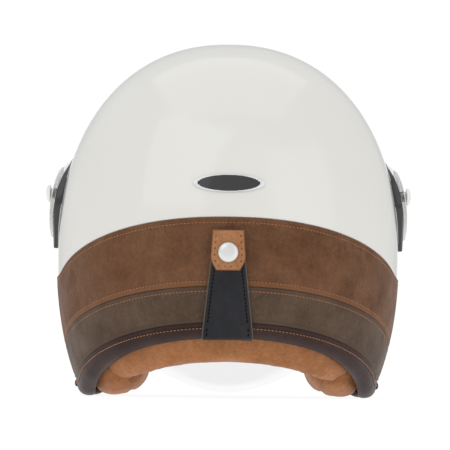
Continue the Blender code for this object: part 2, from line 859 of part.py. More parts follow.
def bezel_point(side):
    outer = ((12, 178.0), (-4, 174.5), (-15, 163.5), (-19, 149.5), (-18.5, 133),
             (-12, 119), (-5, 108.5))
    inner = ((10, 174.0), (0.0, 171.4), (-8.6, 164.0), (-12.8, 151), (-10.6, 138.4),
             (-3.5, 127.0), (0, 111))
    outer = catmull(outer, 3)
    inner = catmull(inner, 3)

    def at(u, v, k):
        i = round(u * (len(outer) - 1))
        p = inner[i].lerp(outer[i], v)
        base = form_x(p.x, p.y, 0.35)
        half, height = EAR_BEZEL
        zz = abs((p.y - SHIELD_MID_Z) / (height if p.y > SHIELD_MID_Z else 260.0))
        top = half * (1.0 - zz ** POWER) ** (1.0 / POWER)
        top = max(top - (0.9 if v > 0.99 else 0.0), base + 1.0)
        return Vector((side * (top if k else base), p.x, p.y))
    return at, len(outer) - 1


def pivot_parts():
    at = (PIVOT_Y, PIVOT_Z)
    shell_x = form_x(PIVOT_Y, PIVOT_Z, 0.0)
    for side, label in ((-1.0, "left"), (1.0, "right")):
        flip = mirrored if side < 0 else (lambda bm: bm)
        point, stations = bezel_point(side)
        finish("pivot_bezel_" + label, slab(stations, 2, point), BLACK)

        hole = cutter("pivot_hole_" + label, flip(rod("x", at, 2.9, 105.0, 126.4)))
        form = cutter("pivot_form_" + label, blob(0.35, 48, 30))
        base = finish("pivot_base_" + label,
                      flip(lathe("x", at, ((112.0, 12.0), (124.0, 12.0), (124.7, 11.2)))),
                      BLACK)
        cut(base, form, hole)
        finish("friction_washer_" + label, flip(turned_ring("x", at, (
            (125.0, 2.9), (125.0, 7.5), (125.8, 7.5), (125.8, 2.9)))), STEEL)
        finish("pivot_screw_" + label, flip(lathe("x", at, (
            (111.5, 2.0), (112.0, 2.4), (126.1, 2.4), (126.2, 3.9), (133.0, 3.9)))),
            STEEL)
        finish("pivot_knob_" + label, flip(lathe("x", at, (
            (133.3, 6.0), (133.6, 6.5), (134.7, 6.4), (135.9, 5.2), (136.5, 3.2),
            (KNOB_TOP, 1.2)), 20)), STEEL)
        finish("pivot_nut_" + label, flip(turned_ring("x", at, (
            (112.6, 2.8), (112.6, 4.2), (114.6, 4.2), (114.6, 7.2), (shell_x - 6.4, 7.2),
            (shell_x - 6.4, 2.8)))), STEEL)


# -------------------------------------------------- rear strap, badge, rivets

def rear_slab(half, z0, z1, offsets, cols, rows, shape=None):
    """Slab lying on the rear of the form between two heights."""
    def at(u, v, k):
        z = z0 + (z1 - z0) * v
        w = half(z) if callable(half) else half
        x = (2.0 * u - 1.0) * w
        if shape:
            x, z = shape(u, v)
        near, far = offsets(z)
        return Vector((x, form_y(x, z, far if k else near), z))
    return slab(cols, rows, at)


def flap_rise(z):
    """How far the strap stands off the leather at a height."""
    t = min(max((z - 56.0) / 34.0, 0.0), 1.0)
    return 2.0 + 1.7 * t * t * (3.0 - 2.0 * t)


def flap_half(z):
    t = (z - FLAP_HINGE_Z) / (FLAP_TOP_Z - FLAP_HINGE_Z)
    return FLAP_HALF[0] + (FLAP_HALF[1] - FLAP_HALF[0]) * t


def tip_half(z):
    t = (z - 86.7) / 27.6
    if t < 0.35:
        return 8.0 + 3.9 * math.sin(math.pi / 2.0 * t / 0.35)
    return 11.9 - 1.2 * (t - 0.35) / 0.65


def rear_strap(hinge):
    strap = finish("goggle_strap", rear_slab(
        flap_half, FLAP_HINGE_Z + 0.8, FLAP_TOP_Z,
        lambda z: (flap_rise(z), flap_rise(z) + 1.6), 6, 14), BLACK, origin=hinge)
    tip = finish("strap_tip", rear_slab(
        tip_half, 86.7, 114.3,
        lambda z: (flap_rise(z) + 1.95, flap_rise(z) + 3.6), 6, 10), TAN_TAB,
        origin=hinge)
    y = form_y(0.0, SNAP_Z, 0.0)
    at = (0.0, SNAP_Z)
    hole = cutter("snap_hole", rod("y", at, 2.6, y - 12.0, y + 9.0))
    cut(strap, hole)
    cut(tip, hole)
    rise = flap_rise(SNAP_Z)
    face = y - rise - 3.6
    finish("snap_cap", lathe("y", at, (
        (face - 3.1, 1.4), (face - 2.8, 3.6), (face - 2.0, 5.6),
        (face - 1.0, SNAP_RADIUS), (face - 0.35, 6.5), (face - 0.36, 2.2),
        (y - rise - 0.2, 2.2)), 20), STEEL, origin=hinge)
    finish("snap_socket", turned_ring("y", at, (
        (y - rise + 0.3, 2.7), (y - rise + 0.3, 5.0), (y - 1.2, 5.0), (y - 0.95, 4.6),
        (y - 0.95, 2.7))), STEEL, origin=hinge)
    finish("snap_stud", lathe("y", at, (
        (y - 2.6, 1.2), (y - 2.3, 1.6), (y - 1.6, 1.6), (y - 1.2, 1.3),
        (y + 4.5, 1.3), (y + 4.51, 4.0), (y + 5.4, 4.0)), 12), STEEL)
    stud_hole = cutter("stud_hole", rod("y", at, 1.8, y - 3.0, y + 6.5))
    stud_pocket = cutter("stud_pocket", rod("y", at, 5.0, y + 2.0, y + 6.6))

    path = [(form_y(0.0, FLAP_HINGE_Z - 0.8, 0.0) - 2.9, FLAP_HINGE_Z - 0.8),
            (form_y(0.0, 46.0, 0.0) - 2.9, 46.0),
            (form_y(0.0, 44.0, 0.0) - 2.3, 43.0),
            (-131.0, edge_height(LOWER_EDGE, -131.0) - 1.8),
            (-125.0, edge_height(LOWER_EDGE, -130.0) - 1.6)]

    def root(u, v, k):
        i = round(u * (len(path) - 1))
        before = Vector(path[max(i - 1, 0)])
        after = Vector(path[min(i + 1, len(path) - 1)])
        run = (after - before).normalized()
        side = Vector((-run.y, run.x)) * (0.7 if k else -0.7)
        y_at, z_at = Vector(path[i]) + side
        x = (2.0 * v - 1.0) * 17.6 + 0.6
        lift = form_y(x, z_at, 0.0) - form_y(0.0, z_at, 0.0)
        arch = edge_height(LOWER_EDGE, y_at + lift) - edge_height(LOWER_EDGE, y_at)
        return Vector((x, y_at + lift, z_at + arch))
    finish("strap_root", slab(len(path) - 1, 6, root), BLACK)
    return stud_hole, stud_pocket


def badge():
    def oval(u, v):
        a, b = disc_map(u, v)
        return a * 24.5, 147.0 + b * 6.4
    finish("rear_badge", rear_slab(1.0, 0.0, 1.0, lambda z: (0.3, 1.5), 10, 4,
                                   shape=oval), BLACK)


# --------------------------------------------------------------- chin strap

def strap_path():
    """Webbing path in the upright cross plane as (distance from middle, z)."""
    y = STRAP_Y
    wall = [(form_x(y, z, -6.0), z) for z in (4.8, 12.0, 18.0)]
    turn = [(form_x(y, 22.5, -7.4), 22.6), (form_x(y, 24.0, -12.5), 25.0),
            (form_x(y, 25.0, -26.0), 26.0), (form_x(y, 28.0, -34.5), 28.2)]
    rise = [(form_x(y, z, -36.8), z) for z in (36.0, 50.0, 65.0, 80.0, 91.0)]
    over = [(86.5, 96.5), (80.0, 98.2), (68.0, 98.0), (60.5, 95.5), (57.8, 90.0)]
    return wall + turn + rise + over


def band(path, side, half_width, thick):
    """Flat webbing swept along a path in the cross plane."""
    def at(u, v, k):
        i = round(u * (len(path) - 1))
        before = Vector(path[max(i - 1, 0)])
        after = Vector(path[min(i + 1, len(path) - 1)])
        run = (after - before).normalized()
        off = Vector((-run.y, run.x)) * (thick / 2.0 if k else -thick / 2.0)
        point = Vector(path[i]) + off
        y = STRAP_Y + (2.0 * v - 1.0) * half_width
        return Vector((side * point.x, y, point.y))
    return slab(len(path) - 1, 2, at)


def rivet(side, label):
    at = (STRAP_Y, RIVET_Z)
    skin = form_x(STRAP_Y, RIVET_Z, 0.0)
    flip = mirrored if side < 0 else (lambda bm: bm)
    finish("strap_rivet_" + label, flip(lathe("x", at, (
        (skin - 8.6, 1.4), (skin - 8.3, 1.7), (skin + 2.44, 1.7),
        (skin + 2.45, 2.7), (skin + 3.3, 2.4), (skin + 3.8, 1.2)))), BLACK)
    hole = cutter("rivet_hole_" + label,
                  flip(rod("x", at, 2.3, skin - 12.0, skin + 6.0)))

    def plate_point(u, v, k):
        y = STRAP_Y + (2.0 * v - 1.0) * 8.0
        z = 5.2 + 8.4 * u
        x = form_x(y, z, -7.3) - (0.9 if k else 0.0)
        return Vector((side * x, y, z))
    plate = finish("anchor_plate_" + label, slab(3, 2, plate_point), STEEL)
    cut(plate, hole)
    return hole


def chin_left():
    path = strap_path() + [(56.6, 86.0), (54.0, 82.0), (53.7, 76.0),
                           (52.9, 73.3), (51.3, 72.3), (49.7, 73.3),
                           (48.9, 76.0), (48.9, 86.0)]
    return path


def chin_right():
    return strap_path() + [(57.6, 84.0), (57.6, 72.0)]


def chin_strap(holes):
    for side, label, path in ((-1.0, "left", chin_left()), (1.0, "right", chin_right())):
        web = finish("chin_strap_" + label,
                     band(path, side, STRAP_WIDTH / 2.0 - 2.5, STRAP_THICK), WEB)
        cut(web, holes[label])
        if side > 0:
            cut(web, cutter("tongue_rivet_hole",
                            rod("x", (STRAP_Y, 77.0), 2.0, 50.0, 64.0, 16)))


def buckle(lever_at):
    y = STRAP_Y
    frame = finish("buckle_frame", box(-56.4, -47.4, y - 13.2, y + 13.2, 36.0, 79.0),
                   STEEL)
    cut(frame, cutter("buckle_hollow",
                      box(-55.2, -40.0, y - 12.0, y + 12.0, 30.0, 85.0)))
    boolean(frame, "UNION", cutter("buckle_bar", rod(
        "y", (-51.3, 75.0), 1.1, y - 12.6, y + 12.6, 12)))
    pin_at = (-50.4, 65.5)
    cut(frame, cutter("pin_holes", rod("y", pin_at, 1.7, y - 15.0, y + 15.0, 16)))
    finish("buckle_pin", lathe("y", pin_at, (
        (y - 14.4, 2.3), (y - 13.5, 2.3), (y - 13.49, 1.4), (y + 13.49, 1.4),
        (y + 13.5, 2.3), (y + 14.4, 2.3)), 16), STEEL)
    lever = finish("buckle_lever", rod("y", pin_at, 2.9, y - 11.4, y + 11.4, 16), STEEL,
                   origin=lever_at)
    arm = [(-49.6, 67.8), (-47.5, 66.0), (-46.6, 60.0), (-46.6, 39.0), (-48.0, 38.0),
           (-51.4, 41.0), (-51.0, 43.5), (-48.4, 43.0), (-48.6, 58.0), (-50.5, 62.8)]
    boolean(lever, "UNION", cutter("lever_arm", tooth_bar(arm, y - 10.6, y + 10.6)))
    cut(lever, cutter("lever_bore", rod("y", pin_at, 1.8, y - 15.0, y + 15.0, 16)))
    tab_path = [(-45.8, 31.5), (-45.8, 40.0), (-45.8, 55.0)]

    def tab_point(u, v, k):
        i = round(u * (len(tab_path) - 1))
        before = Vector(tab_path[max(i - 1, 0)])
        after = Vector(tab_path[min(i + 1, len(tab_path) - 1)])
        run = (after - before).normalized()
        off = Vector((-run.y, run.x)) * (0.5 if k else -0.5)
        point = Vector(tab_path[i]) + off
        return Vector((point.x, y + (2.0 * v - 1.0) * 5.2, point.y))
    finish("release_tab", slab(len(tab_path) - 1, 2, tab_point), RED, origin=lever_at)


def tooth_bar(outline, y0, y1):
    bm = bmesh.new()
    verts = [bm.verts.new((x, y0, z)) for x, z in outline]
    face = bmesh.ops.contextual_create(bm, geom=verts)["faces"]
    out = bmesh.ops.extrude_face_region(bm, geom=face)
    moved = [v for v in out["geom"] if isinstance(v, bmesh.types.BMVert)]
    bmesh.ops.translate(bm, verts=moved, vec=(0.0, y1 - y0, 0.0))
    return bm


def tongue():
    outline = [(56.5, 33.0), (56.5, 84.0), (54.4, 84.0), (54.4, 70.0)]
    z = 68.0
    for _ in range(10):
        outline.append((54.3, z))
        outline.append((55.3, z - 0.4))
        z -= 3.2
    outline.append((54.9, 34.5))
    bar = finish("toothed_tongue", tooth_bar(outline, STRAP_Y - 6.0, STRAP_Y + 6.0),
                 STEEL)
    at = (STRAP_Y, 77.0)
    cut(bar, cutter("tongue_bore", rod("x", at, 2.0, 50.0, 58.0, 16)))
    finish("tongue_rivet", lathe("x", at, (
        (53.2, 3.0), (54.1, 3.4), (54.11, 1.6), (58.6, 1.6), (58.61, 3.2),
        (59.2, 3.0)), 16), STEEL)


# -------------------------------------------------------------------- build

def build():
    wipe()
    collections()
    shield_pivot = (0.0, PIVOT_Y, PIVOT_Z)
    flap_hinge = (0.0, form_y(0.0, FLAP_HINGE_Z, 0.0) - 3.9, FLAP_HINGE_Z)
    lever_at = (-50.4, STRAP_Y, 65.5)

    stud_hole, stud_pocket = rear_strap(flap_hinge)
    holes = {"left": rivet(-1.0, "left"), "right": rivet(1.0, "right")}
    at = (PIVOT_Y, PIVOT_Z)
    screw_hole = cutter("screw_holes", rod("x", at, 3.0, -128.0, 128.0))
    nut_pocket = cutter("nut_pockets", rod("x", at, 9.0, -121.5, 121.5))
    rivet_holes = [holes["left"], holes["right"]]
    outer_shell(rivet_holes + [screw_hole, stud_hole])
    leather_parts(stud_hole, rivet_holes)
    face_edge()
    liner_parts([nut_pocket, stud_pocket])
    channel = cutter("pad_channel",
                     band(strap_path()[:-4], 1.0, STRAP_WIDTH / 2.0 - 0.8, 9.0))
    twin(cheek_pad("cheek_pad_right", 1.0, channel), "cheek_pad_left", TAN)
    neck_roll()
    shield_parts(shield_pivot)
    pivot_parts()
    badge()
    chin_strap(holes)
    buckle(lever_at)
    tongue()


build()
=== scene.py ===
"""Looks of an open face motorcycle helmet with leather bands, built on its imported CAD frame.

Lengths are millimetres unless a name ends in _M; meshes are written in metres.
The shell form and the edge lines are the same formulas as the CAD model's.
"""
import math

import bmesh
import bpy
from mathutils import Matrix, Vector
from mathutils.noise import noise


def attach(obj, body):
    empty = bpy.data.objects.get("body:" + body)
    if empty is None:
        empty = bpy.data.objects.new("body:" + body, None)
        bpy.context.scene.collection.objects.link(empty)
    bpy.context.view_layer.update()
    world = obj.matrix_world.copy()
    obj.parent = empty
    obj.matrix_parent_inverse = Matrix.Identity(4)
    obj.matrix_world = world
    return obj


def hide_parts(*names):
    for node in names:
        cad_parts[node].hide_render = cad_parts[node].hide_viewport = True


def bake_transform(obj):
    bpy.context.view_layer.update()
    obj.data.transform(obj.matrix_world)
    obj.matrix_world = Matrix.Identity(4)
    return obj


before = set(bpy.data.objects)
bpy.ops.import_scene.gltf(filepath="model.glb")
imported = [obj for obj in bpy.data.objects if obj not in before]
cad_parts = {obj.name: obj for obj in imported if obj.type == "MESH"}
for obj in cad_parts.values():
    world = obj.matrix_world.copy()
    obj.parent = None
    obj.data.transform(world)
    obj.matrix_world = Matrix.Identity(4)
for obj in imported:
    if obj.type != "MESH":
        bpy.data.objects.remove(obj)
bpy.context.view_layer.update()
MM = 0.001
# The CAD assembly stands this far from its form's own origin
SHIFT = Vector((0.0, -0.6, 0.0))
SIDES = ((-1.0, "left"), (1.0, "right"))
BEHIND = Vector((0.0, -1.0, 0.0))

# ---------- the helmet's form

# A superellipsoid about the upright axis, its rear half tucked in toward the nape
POWER = 2.2
HALF_WIDTH = 126.0
REAR = 141.0
FRONT = 137.0
MID_Z = 105.0
RISE = 156.0
DROP = 176.0
NAPE_TUCK = 36.0

# Offsets from the form, outward positive; feet are heights over the lower edge
SHELL_WALL = 3.2
RECESS = 1.1
LEATHER_IN = -0.5
TRIM_RETURN = -6.0
TRIM_FOOT = 3.6
SHELL_FOOT = 5.6

# Edge lines over the run from front to rear: base, slope, start, ease
LOWER_EDGE = (0.0, 0.44, 25.0, 9.0)
SEAM_TWO = (12.3, 0.39, 24.4, 8.0)
SEAM_ONE = (37.0, 0.33, 7.8, 12.0)
BAND_TOP = (87.0, 0.37, 30.0, 12.0)
LINER_EDGE = (30.0, 0.24, 13.0, 10.0)
# All of them curve up toward the jaw corners: start, curvature
JAW_LIFT = (28.0, 0.0042)

# The face opening in side view as (y, z), and the width of its trim
FACE = ((170, 189), (146, 189), (122, 188), (98, 182), (79, 169), (67, 149),
        (61, 122), (61, 95), (67, 69), (75, 48), (80, 30), (82, 13), (82, -8))
FACE_TRIM = 7.5
UNDER_TRIM = FACE_TRIM - 1.6

# The shield: its pivot, its superellipse seen from above, and its side and front heights
PIVOT_Y = 10.0
PIVOT_Z = 150.3
SHIELD_A = 130.0
SHIELD_B = 141.0
SHIELD_B_REAR = 400.0
SHIELD_MID_Z = 125.0
SHIELD_UP = (118.0, 115.0)
SHIELD_DOWN = (260.0, 211.0)
SHIELD_THICK = 1.8
SHIELD_RIM = 7.0
EAR = 20.0
EAR_PART = 0.16
EAR_BEZEL = (129.6, 100.0)
COVER_AT = (5.0, -6.0)
COVER_RADIUS = 26.5

FLAP_HINGE_Z = 49.5
FLAP_TOP_Z = 110.5
FLAP_HALF = (16.9, 9.9)
STRAP_SEAM = 3.1
TIP_LOW, TIP_HIGH = 86.7, 114.3
TIP_THICK = 1.75
SNAP_Z = 99.0
BADGE_Z = 147.0
BADGE_HALF = (24.5, 6.4)
STRAP_Y = 8.0
WEB_HALF = 9.5
WEB_THICK = 1.4


def edge_height(edge, y):
    """Height of an edge line at y: level at the sides, easing into a slope behind."""
    base, slope, start, ease = edge
    t = -y - start
    if t <= 0.0:
        ahead = min(max(y - JAW_LIFT[0], 0.0), 50.0)
        return base + JAW_LIFT[1] * ahead * ahead
    if t < 2.0 * ease:
        return base + slope * t * t / (4.0 * ease)
    return base + slope * (t - ease)


def form_height(z, rearward):
    """Upright half axis; rearward is 1 straight behind and 0 at the sides and in front."""
    return RISE if z >= MID_Z else DROP - NAPE_TUCK * rearward


def form_value(p, off=0.0):
    """1 on the form grown by off, less inside it."""
    length = REAR if p.y < 0.0 else FRONT
    rearward = p.y ** 2 / (p.x ** 2 + p.y ** 2 + 1e-9) if p.y < 0.0 else 0.0
    height = form_height(p.z, rearward)
    total = abs(p.x / (HALF_WIDTH + off)) ** POWER + abs(p.y / (length + off)) ** POWER
    return total + abs((p.z - MID_Z) / (height + off)) ** POWER


def form_normal(p):
    d = 0.05
    base = form_value(p)
    steps = (Vector((d, 0, 0)), Vector((0, d, 0)), Vector((0, 0, d)))
    return Vector([form_value(p + step) - base for step in steps]).normalized()


def form_radius(phi, z, off):
    """Level distance from the upright axis to the form; phi from the front."""
    s, c = math.sin(phi), math.cos(phi)
    length = REAR if c < 0.0 else FRONT
    height = form_height(z, c * c if c < 0.0 else 0.0)
    left = 1.0 - abs((z - MID_Z) / (height + off)) ** POWER
    lean = abs(s / (HALF_WIDTH + off)) ** POWER + abs(c / (length + off)) ** POWER
    return (max(left, 0.0) / lean) ** (1.0 / POWER)


def form_x(y, z, off):
    """Half width of the form at a point of the side view."""
    x = HALF_WIDTH * 0.9
    for _ in range(8):
        rho = form_radius(math.atan2(x, y), z, off)
        x = 0.5 * x * rho / math.hypot(x, y) + 0.5 * math.sqrt(max(rho * rho - y * y, 1.0))
    return x


def form_y(x, z, off):
    """Rear y of the form at a point of the rear view."""
    y = -REAR * 0.9
    for _ in range(8):
        height = form_height(z, y * y / (x * x + y * y))
        left = 1.0 - abs(x / (HALF_WIDTH + off)) ** POWER
        left -= abs((z - MID_Z) / (height + off)) ** POWER
        y = -(REAR + off) * max(left, 1e-4) ** (1.0 / POWER)
    return y


def shield_point(phi, z):
    """Inner face of the shield; phi from the front round the pivot's upright."""
    s, c = math.sin(phi), math.cos(phi)
    side, front = SHIELD_UP if z > SHIELD_MID_Z else SHIELD_DOWN
    height = side + (front - side) * c * c
    left = 1.0 - abs((z - SHIELD_MID_Z) / height) ** POWER
    reach = SHIELD_B_REAR if c < 0.0 else SHIELD_B
    lean = abs(s / SHIELD_A) ** POWER + abs(c / reach) ** POWER
    rho = (left / lean) ** (1.0 / POWER)
    return Vector((rho * s, PIVOT_Y + rho * c, z))


def shield_x(y, z):
    """Half width of the shield's inner face at a point of the side view."""
    phi = math.pi / 2.0
    for _ in range(8):
        phi = math.atan2(shield_point(phi, z).x, y - PIVOT_Y)
    return shield_point(phi, z).x


def shield_columns(s):
    """Azimuth, bottom and top heights for s = 0 (ear) to 1 (front)."""
    if s < EAR_PART:
        theta = math.radians(165.0 - 75.0 * (s / EAR_PART))
        drop = EAR * math.sin(theta)
        return math.atan2(SHIELD_A, EAR * math.cos(theta)), PIVOT_Z - drop, PIVOT_Z + drop
    phi = (math.pi / 2.0) * (1.0 - (s - EAR_PART) / (1.0 - EAR_PART))
    c = math.cos(phi)
    return phi, 2.0 + (PIVOT_Z - EAR - 2.0) * (1.0 - c ** 1.5), PIVOT_Z + EAR + 38.7 * c


def heading(path, i):
    """Unit direction of a path at a point."""
    return (path[min(i + 1, len(path) - 1)] - path[max(i - 1, 0)]).normalized()


def catmull(points, steps):
    """Smooth curve through points."""
    out = []
    last = len(points) - 1
    for i in range(last):
        p0, p1 = Vector(points[max(i - 1, 0)]), Vector(points[i])
        p2, p3 = Vector(points[i + 1]), Vector(points[min(i + 2, last)])
        for k in range(steps):
            t = k / steps
            out.append(0.5 * ((2 * p1) + (p2 - p0) * t + (2 * p0 - 5 * p1 + 4 * p2 - p3) * t * t
                              + (3 * p1 - p0 - 3 * p2 + p3) * t ** 3))
    out.append(Vector(points[-1]))
    return out


def face_curve(back, steps=6):
    """The face opening line moved back from the opening by a distance."""
    curve = catmull(FACE, steps)
    out = []
    for i, point in enumerate(curve):
        run = heading(curve, i)
        out.append((point.x + run.y * back, point.y - run.x * back))
    return out


def face_y(back):
    """The y of the face opening line at a height below the brow."""
    line = [point for point in face_curve(back) if point[1] < 160.0]

    def at(z):
        for (y0, z0), (y1, z1) in zip(line, line[1:]):
            if z1 <= z <= z0:
                return y1 + (y0 - y1) * (z - z1) / (z0 - z1)
        return line[0][0] if z > line[0][1] else line[-1][0]
    return at


def around(u, height, end, off):
    """Point on the form, u running from the left front end round the rear."""
    z = height(-40.0)
    for _ in range(7):
        stop = end(z)
        phi = 1.0
        for _ in range(5):
            phi = math.acos(min(0.98, stop / form_radius(phi, z, off)))
        phi = phi + (2.0 * math.pi - 2.0 * phi) * u
        rho = form_radius(phi, z, off)
        z = height(rho * math.cos(phi))
    return Vector((-rho * math.sin(phi), rho * math.cos(phi), z))


def level(edge, lift=0.0):
    return lambda y: edge_height(edge, y) + lift


def mix(low, high, t):
    return lambda y: low(y) * (1.0 - t) + high(y) * t


def smooth_step(value, start, end):
    t = min(max((value - start) / (end - start), 0.0), 1.0)
    return t * t * (3.0 - 2.0 * t)


# ---------- materials

class Material:
    """A Principled material under construction, with short ways to add its nodes.

    Keyword dials are the shader's own sockets, their words joined by underscores.
    """

    def __init__(self, name, colour, rough=0.5, **dials):
        self.data = bpy.data.materials.new(name)
        self.data.use_nodes = True
        self.tree = self.data.node_tree
        self.shader = self.tree.nodes["Principled BSDF"]
        self.at = self.node("TexCoord").outputs["Object"]
        self.put("Base Color", (*colour, 1.0))
        self.put("Roughness", rough)
        for dial, value in dials.items():
            self.put(dial.replace("_", " "), value)

    def feed(self, socket, value):
        if isinstance(value, bpy.types.NodeSocket):
            self.tree.links.new(value, socket)
        else:
            socket.default_value = value

    def put(self, name, value):
        self.feed(self.shader.inputs[name], value)

    def node(self, kind, inputs=None, **settings):
        made = self.tree.nodes.new("ShaderNode" + kind)
        for key, value in settings.items():
            setattr(made, key, value)
        for key, value in (inputs or {}).items():
            self.feed(made.inputs[key], value)
        return made

    def noise(self, scale, detail=2.0, rough=0.5, at=None, out="Fac"):
        return self.node("TexNoise", {"Vector": at or self.at, "Scale": scale, "Detail": detail,
                                      "Roughness": rough}).outputs[out]

    def cells(self, scale, at=None, feature="DISTANCE_TO_EDGE"):
        return self.node("TexVoronoi", {"Vector": at or self.at, "Scale": scale},
                         feature=feature).outputs["Distance"]

    def wave(self, scale, distortion, direction):
        return self.node("TexWave", {"Vector": self.at, "Scale": scale,
                                     "Distortion": distortion},
                         bands_direction=direction).outputs["Fac"]

    def edge_mark(self):
        """The piece's own edge attribute: 1 on worn edges, on seams and band edges given painted
        shade, and on the shield's rim.
        """
        return self.node("Attribute", attribute_name="edge").outputs["Fac"]

    def math(self, operation, a, b):
        return self.node("Math", {0: a, 1: b}, operation=operation).outputs[0]

    def vector(self, operation, a, b):
        return self.node("VectorMath", {0: a, 1: b}, operation=operation).outputs[0]

    def warped(self, amount_mm, scale):
        """Object coordinates pushed about by noise, so cells and creases wander."""
        push = self.vector("SUBTRACT", self.noise(scale, 3.0, out="Color"), (0.5, 0.5, 0.5))
        push = self.vector("MULTIPLY", push, (amount_mm * MM,) * 3)
        return self.vector("ADD", self.at, push)

    def stretched(self, amount_mm, scale, factors):
        """Wandering coordinates scaled by axis, for marks drawn out in one direction."""
        return self.vector("MULTIPLY", self.warped(amount_mm, scale), factors)

    def ramp(self, value, *stops):
        made = self.node("ValToRGB", {"Fac": value})
        set_ramp(made, stops)
        return made.outputs["Color"]

    def mix(self, amount, a, b, kind="MIX"):
        made = self.node("Mix", {0: amount}, data_type="RGBA", blend_type=kind)
        self.feed(made.inputs[6], a)
        self.feed(made.inputs[7], b if isinstance(b, bpy.types.NodeSocket) else opaque(b))
        return made.outputs[2]

    def bump(self, height, strength, distance_mm, under=None):
        inputs = {"Height": height, "Strength": strength, "Distance": distance_mm * MM}
        if under:
            inputs["Normal"] = under
        return self.node("Bump", inputs).outputs["Normal"]


def opaque(colour):
    return (*colour, 1.0) if hasattr(colour, "__len__") else (colour, colour, colour, 1.0)


def set_ramp(made, stops):
    """Give a colour ramp its (position, colour or grey) stops."""
    band = made.color_ramp
    while len(band.elements) < len(stops):
        band.elements.new(0.5)
    for element, (at, colour) in zip(band.elements, stops):
        element.position = at
        element.color = opaque(colour)


def scaled(colour, factor):
    return tuple(v * factor for v in colour)


def shell_paint():
    """Ivory gloss with a faint orange peel under a clear coat."""
    m = Material("ivory_gloss_shell", (0.775, 0.768, 0.727), Coat_Weight=0.7,
                 Coat_Roughness=0.04)
    m.put("Base Color", m.ramp(m.noise(9.0, 3.0), (0.3, (0.762, 0.753, 0.708)),
                               (0.7, (0.785, 0.779, 0.742))))
    m.put("Roughness", m.ramp(m.noise(35.0, 5.0), (0.35, 0.13), (0.75, 0.22)))
    m.put("Normal", m.bump(m.noise(420.0), 0.06, 0.05))
    return m.data


def leather(name, dark, mid, light, edge, rough=(0.45, 0.62), crease=0.35, wrinkle=0.25):
    """Oiled leather: broad mottling, wandering creases, fine grain, and an edge tone laid on the
    edge mark: burnished edges on some leathers, painted shade along the seams on others.
    """
    m = Material(name, mid, Specular_IOR_Level=0.22)
    cloud = m.noise(42.0, 6.0, 0.6)
    colour = m.ramp(cloud, (0.25, dark), (0.5, mid), (0.77, light))
    fibre = m.noise(520.0, 4.0, at=m.warped(3.0, 300.0))
    streaks = m.noise(1.0, 6.0, 0.6, m.stretched(9.0, 45.0, (210.0, 210.0, 80.0)))
    for tone in (m.ramp(fibre, (0.35, 0.86), (0.65, 1.07)),
                 m.ramp(streaks, (0.36, 0.91), (0.62, 1.05))):
        colour = m.mix(1.0, colour, tone, "MULTIPLY")
    patchy = m.ramp(m.noise(24.0), (0.45, 0.0), (0.62, 1.0))
    cracks = m.ramp(m.cells(120.0, m.warped(14.0, 90.0)), (0.0, 1.0), (0.07, 0.0))
    cracks = m.math("MULTIPLY", cracks, patchy)
    colour = m.mix(m.math("MULTIPLY", cracks, crease), colour, scaled(dark, 0.55))
    # The edge tone on the edge mark: wear on the upper, tab and strap leathers, painted shade along
    # the seams on the middle band, trim and pads
    m.put("Base Color", m.mix(m.edge_mark(), colour, edge))
    m.put("Roughness", m.ramp(cloud, (0.3, rough[1]), (0.7, rough[0])))

    pores = m.cells(1500.0, m.warped(0.8, 900.0), "SMOOTH_F1")
    normal = m.bump(pores, 0.22, 0.12)
    normal = m.bump(m.math("MULTIPLY", cracks, -1.0), 0.35, 0.25, normal)
    fold = m.noise(1.0, 5.0, 0.65, m.stretched(7.0, 60.0, (250.0, 250.0, 120.0)))
    normal = m.bump(fold, wrinkle, 0.9, normal)
    net = m.cells(1.0, m.stretched(9.0, 150.0, (380.0, 380.0, 190.0)))
    net = m.math("MULTIPLY", m.ramp(net, (0.0, 1.0), (0.22, 0.0)),
                 m.ramp(fold, (0.42, 0.0), (0.6, 1.0)))
    m.put("Normal", m.bump(m.math("MULTIPLY", net, -1.0), 1.2 * wrinkle, 0.4, normal))
    return m.data


def knit(name, dark, light):
    """Brushed lining cloth with a fine knit."""
    m = Material(name, light, 0.85, Sheen_Weight=0.35, Sheen_Roughness=0.4)
    m.put("Base Color", m.ramp(m.noise(60.0, 5.0), (0.3, dark), (0.7, light)))
    m.put("Normal", m.bump(m.cells(620.0, feature="F1"), 0.5, 0.35))
    return m.data


def webbing():
    """Woven strap: ribs along the band crossed by fine yarns."""
    m = Material("black_webbing", (0.02, 0.02, 0.022), 0.7, Sheen_Weight=0.3)
    weave = m.math("MULTIPLY", m.wave(260.0, 0.6, "Y"), m.wave(420.0, 0.8, "Z"))
    m.put("Base Color", m.ramp(weave, (0.1, (0.010, 0.010, 0.011)),
                               (0.8, (0.045, 0.045, 0.048))))
    m.put("Normal", m.bump(weave, 0.7, 0.3))
    return m.data


def foam():
    """Moulded bead foam, painted black."""
    m = Material("black_bead_foam", (0.03, 0.03, 0.032), 0.85)
    beads = m.cells(330.0)
    m.put("Base Color", m.ramp(beads, (0.0, (0.012, 0.012, 0.013)),
                               (0.12, (0.038, 0.038, 0.041))))
    m.put("Normal", m.bump(beads, 0.4, 0.3))
    return m.data


def plastic(name, colour, rough, grain=0.0, coat=0.0):
    """Moulded plastic, a little cloudy, grained or coated."""
    m = Material(name, colour, rough, Coat_Weight=coat, Coat_Roughness=0.05)
    cloud = m.noise(80.0, 4.0)
    m.put("Base Color", m.ramp(cloud, (0.3, scaled(colour, 0.92)), (0.7, scaled(colour, 1.06))))
    m.put("Roughness", m.ramp(cloud, (0.3, rough * 0.85), (0.7, min(1.0, rough * 1.2))))
    if grain:
        m.put("Normal", m.bump(m.noise(1300.0), grain, 0.1))
    return m.data


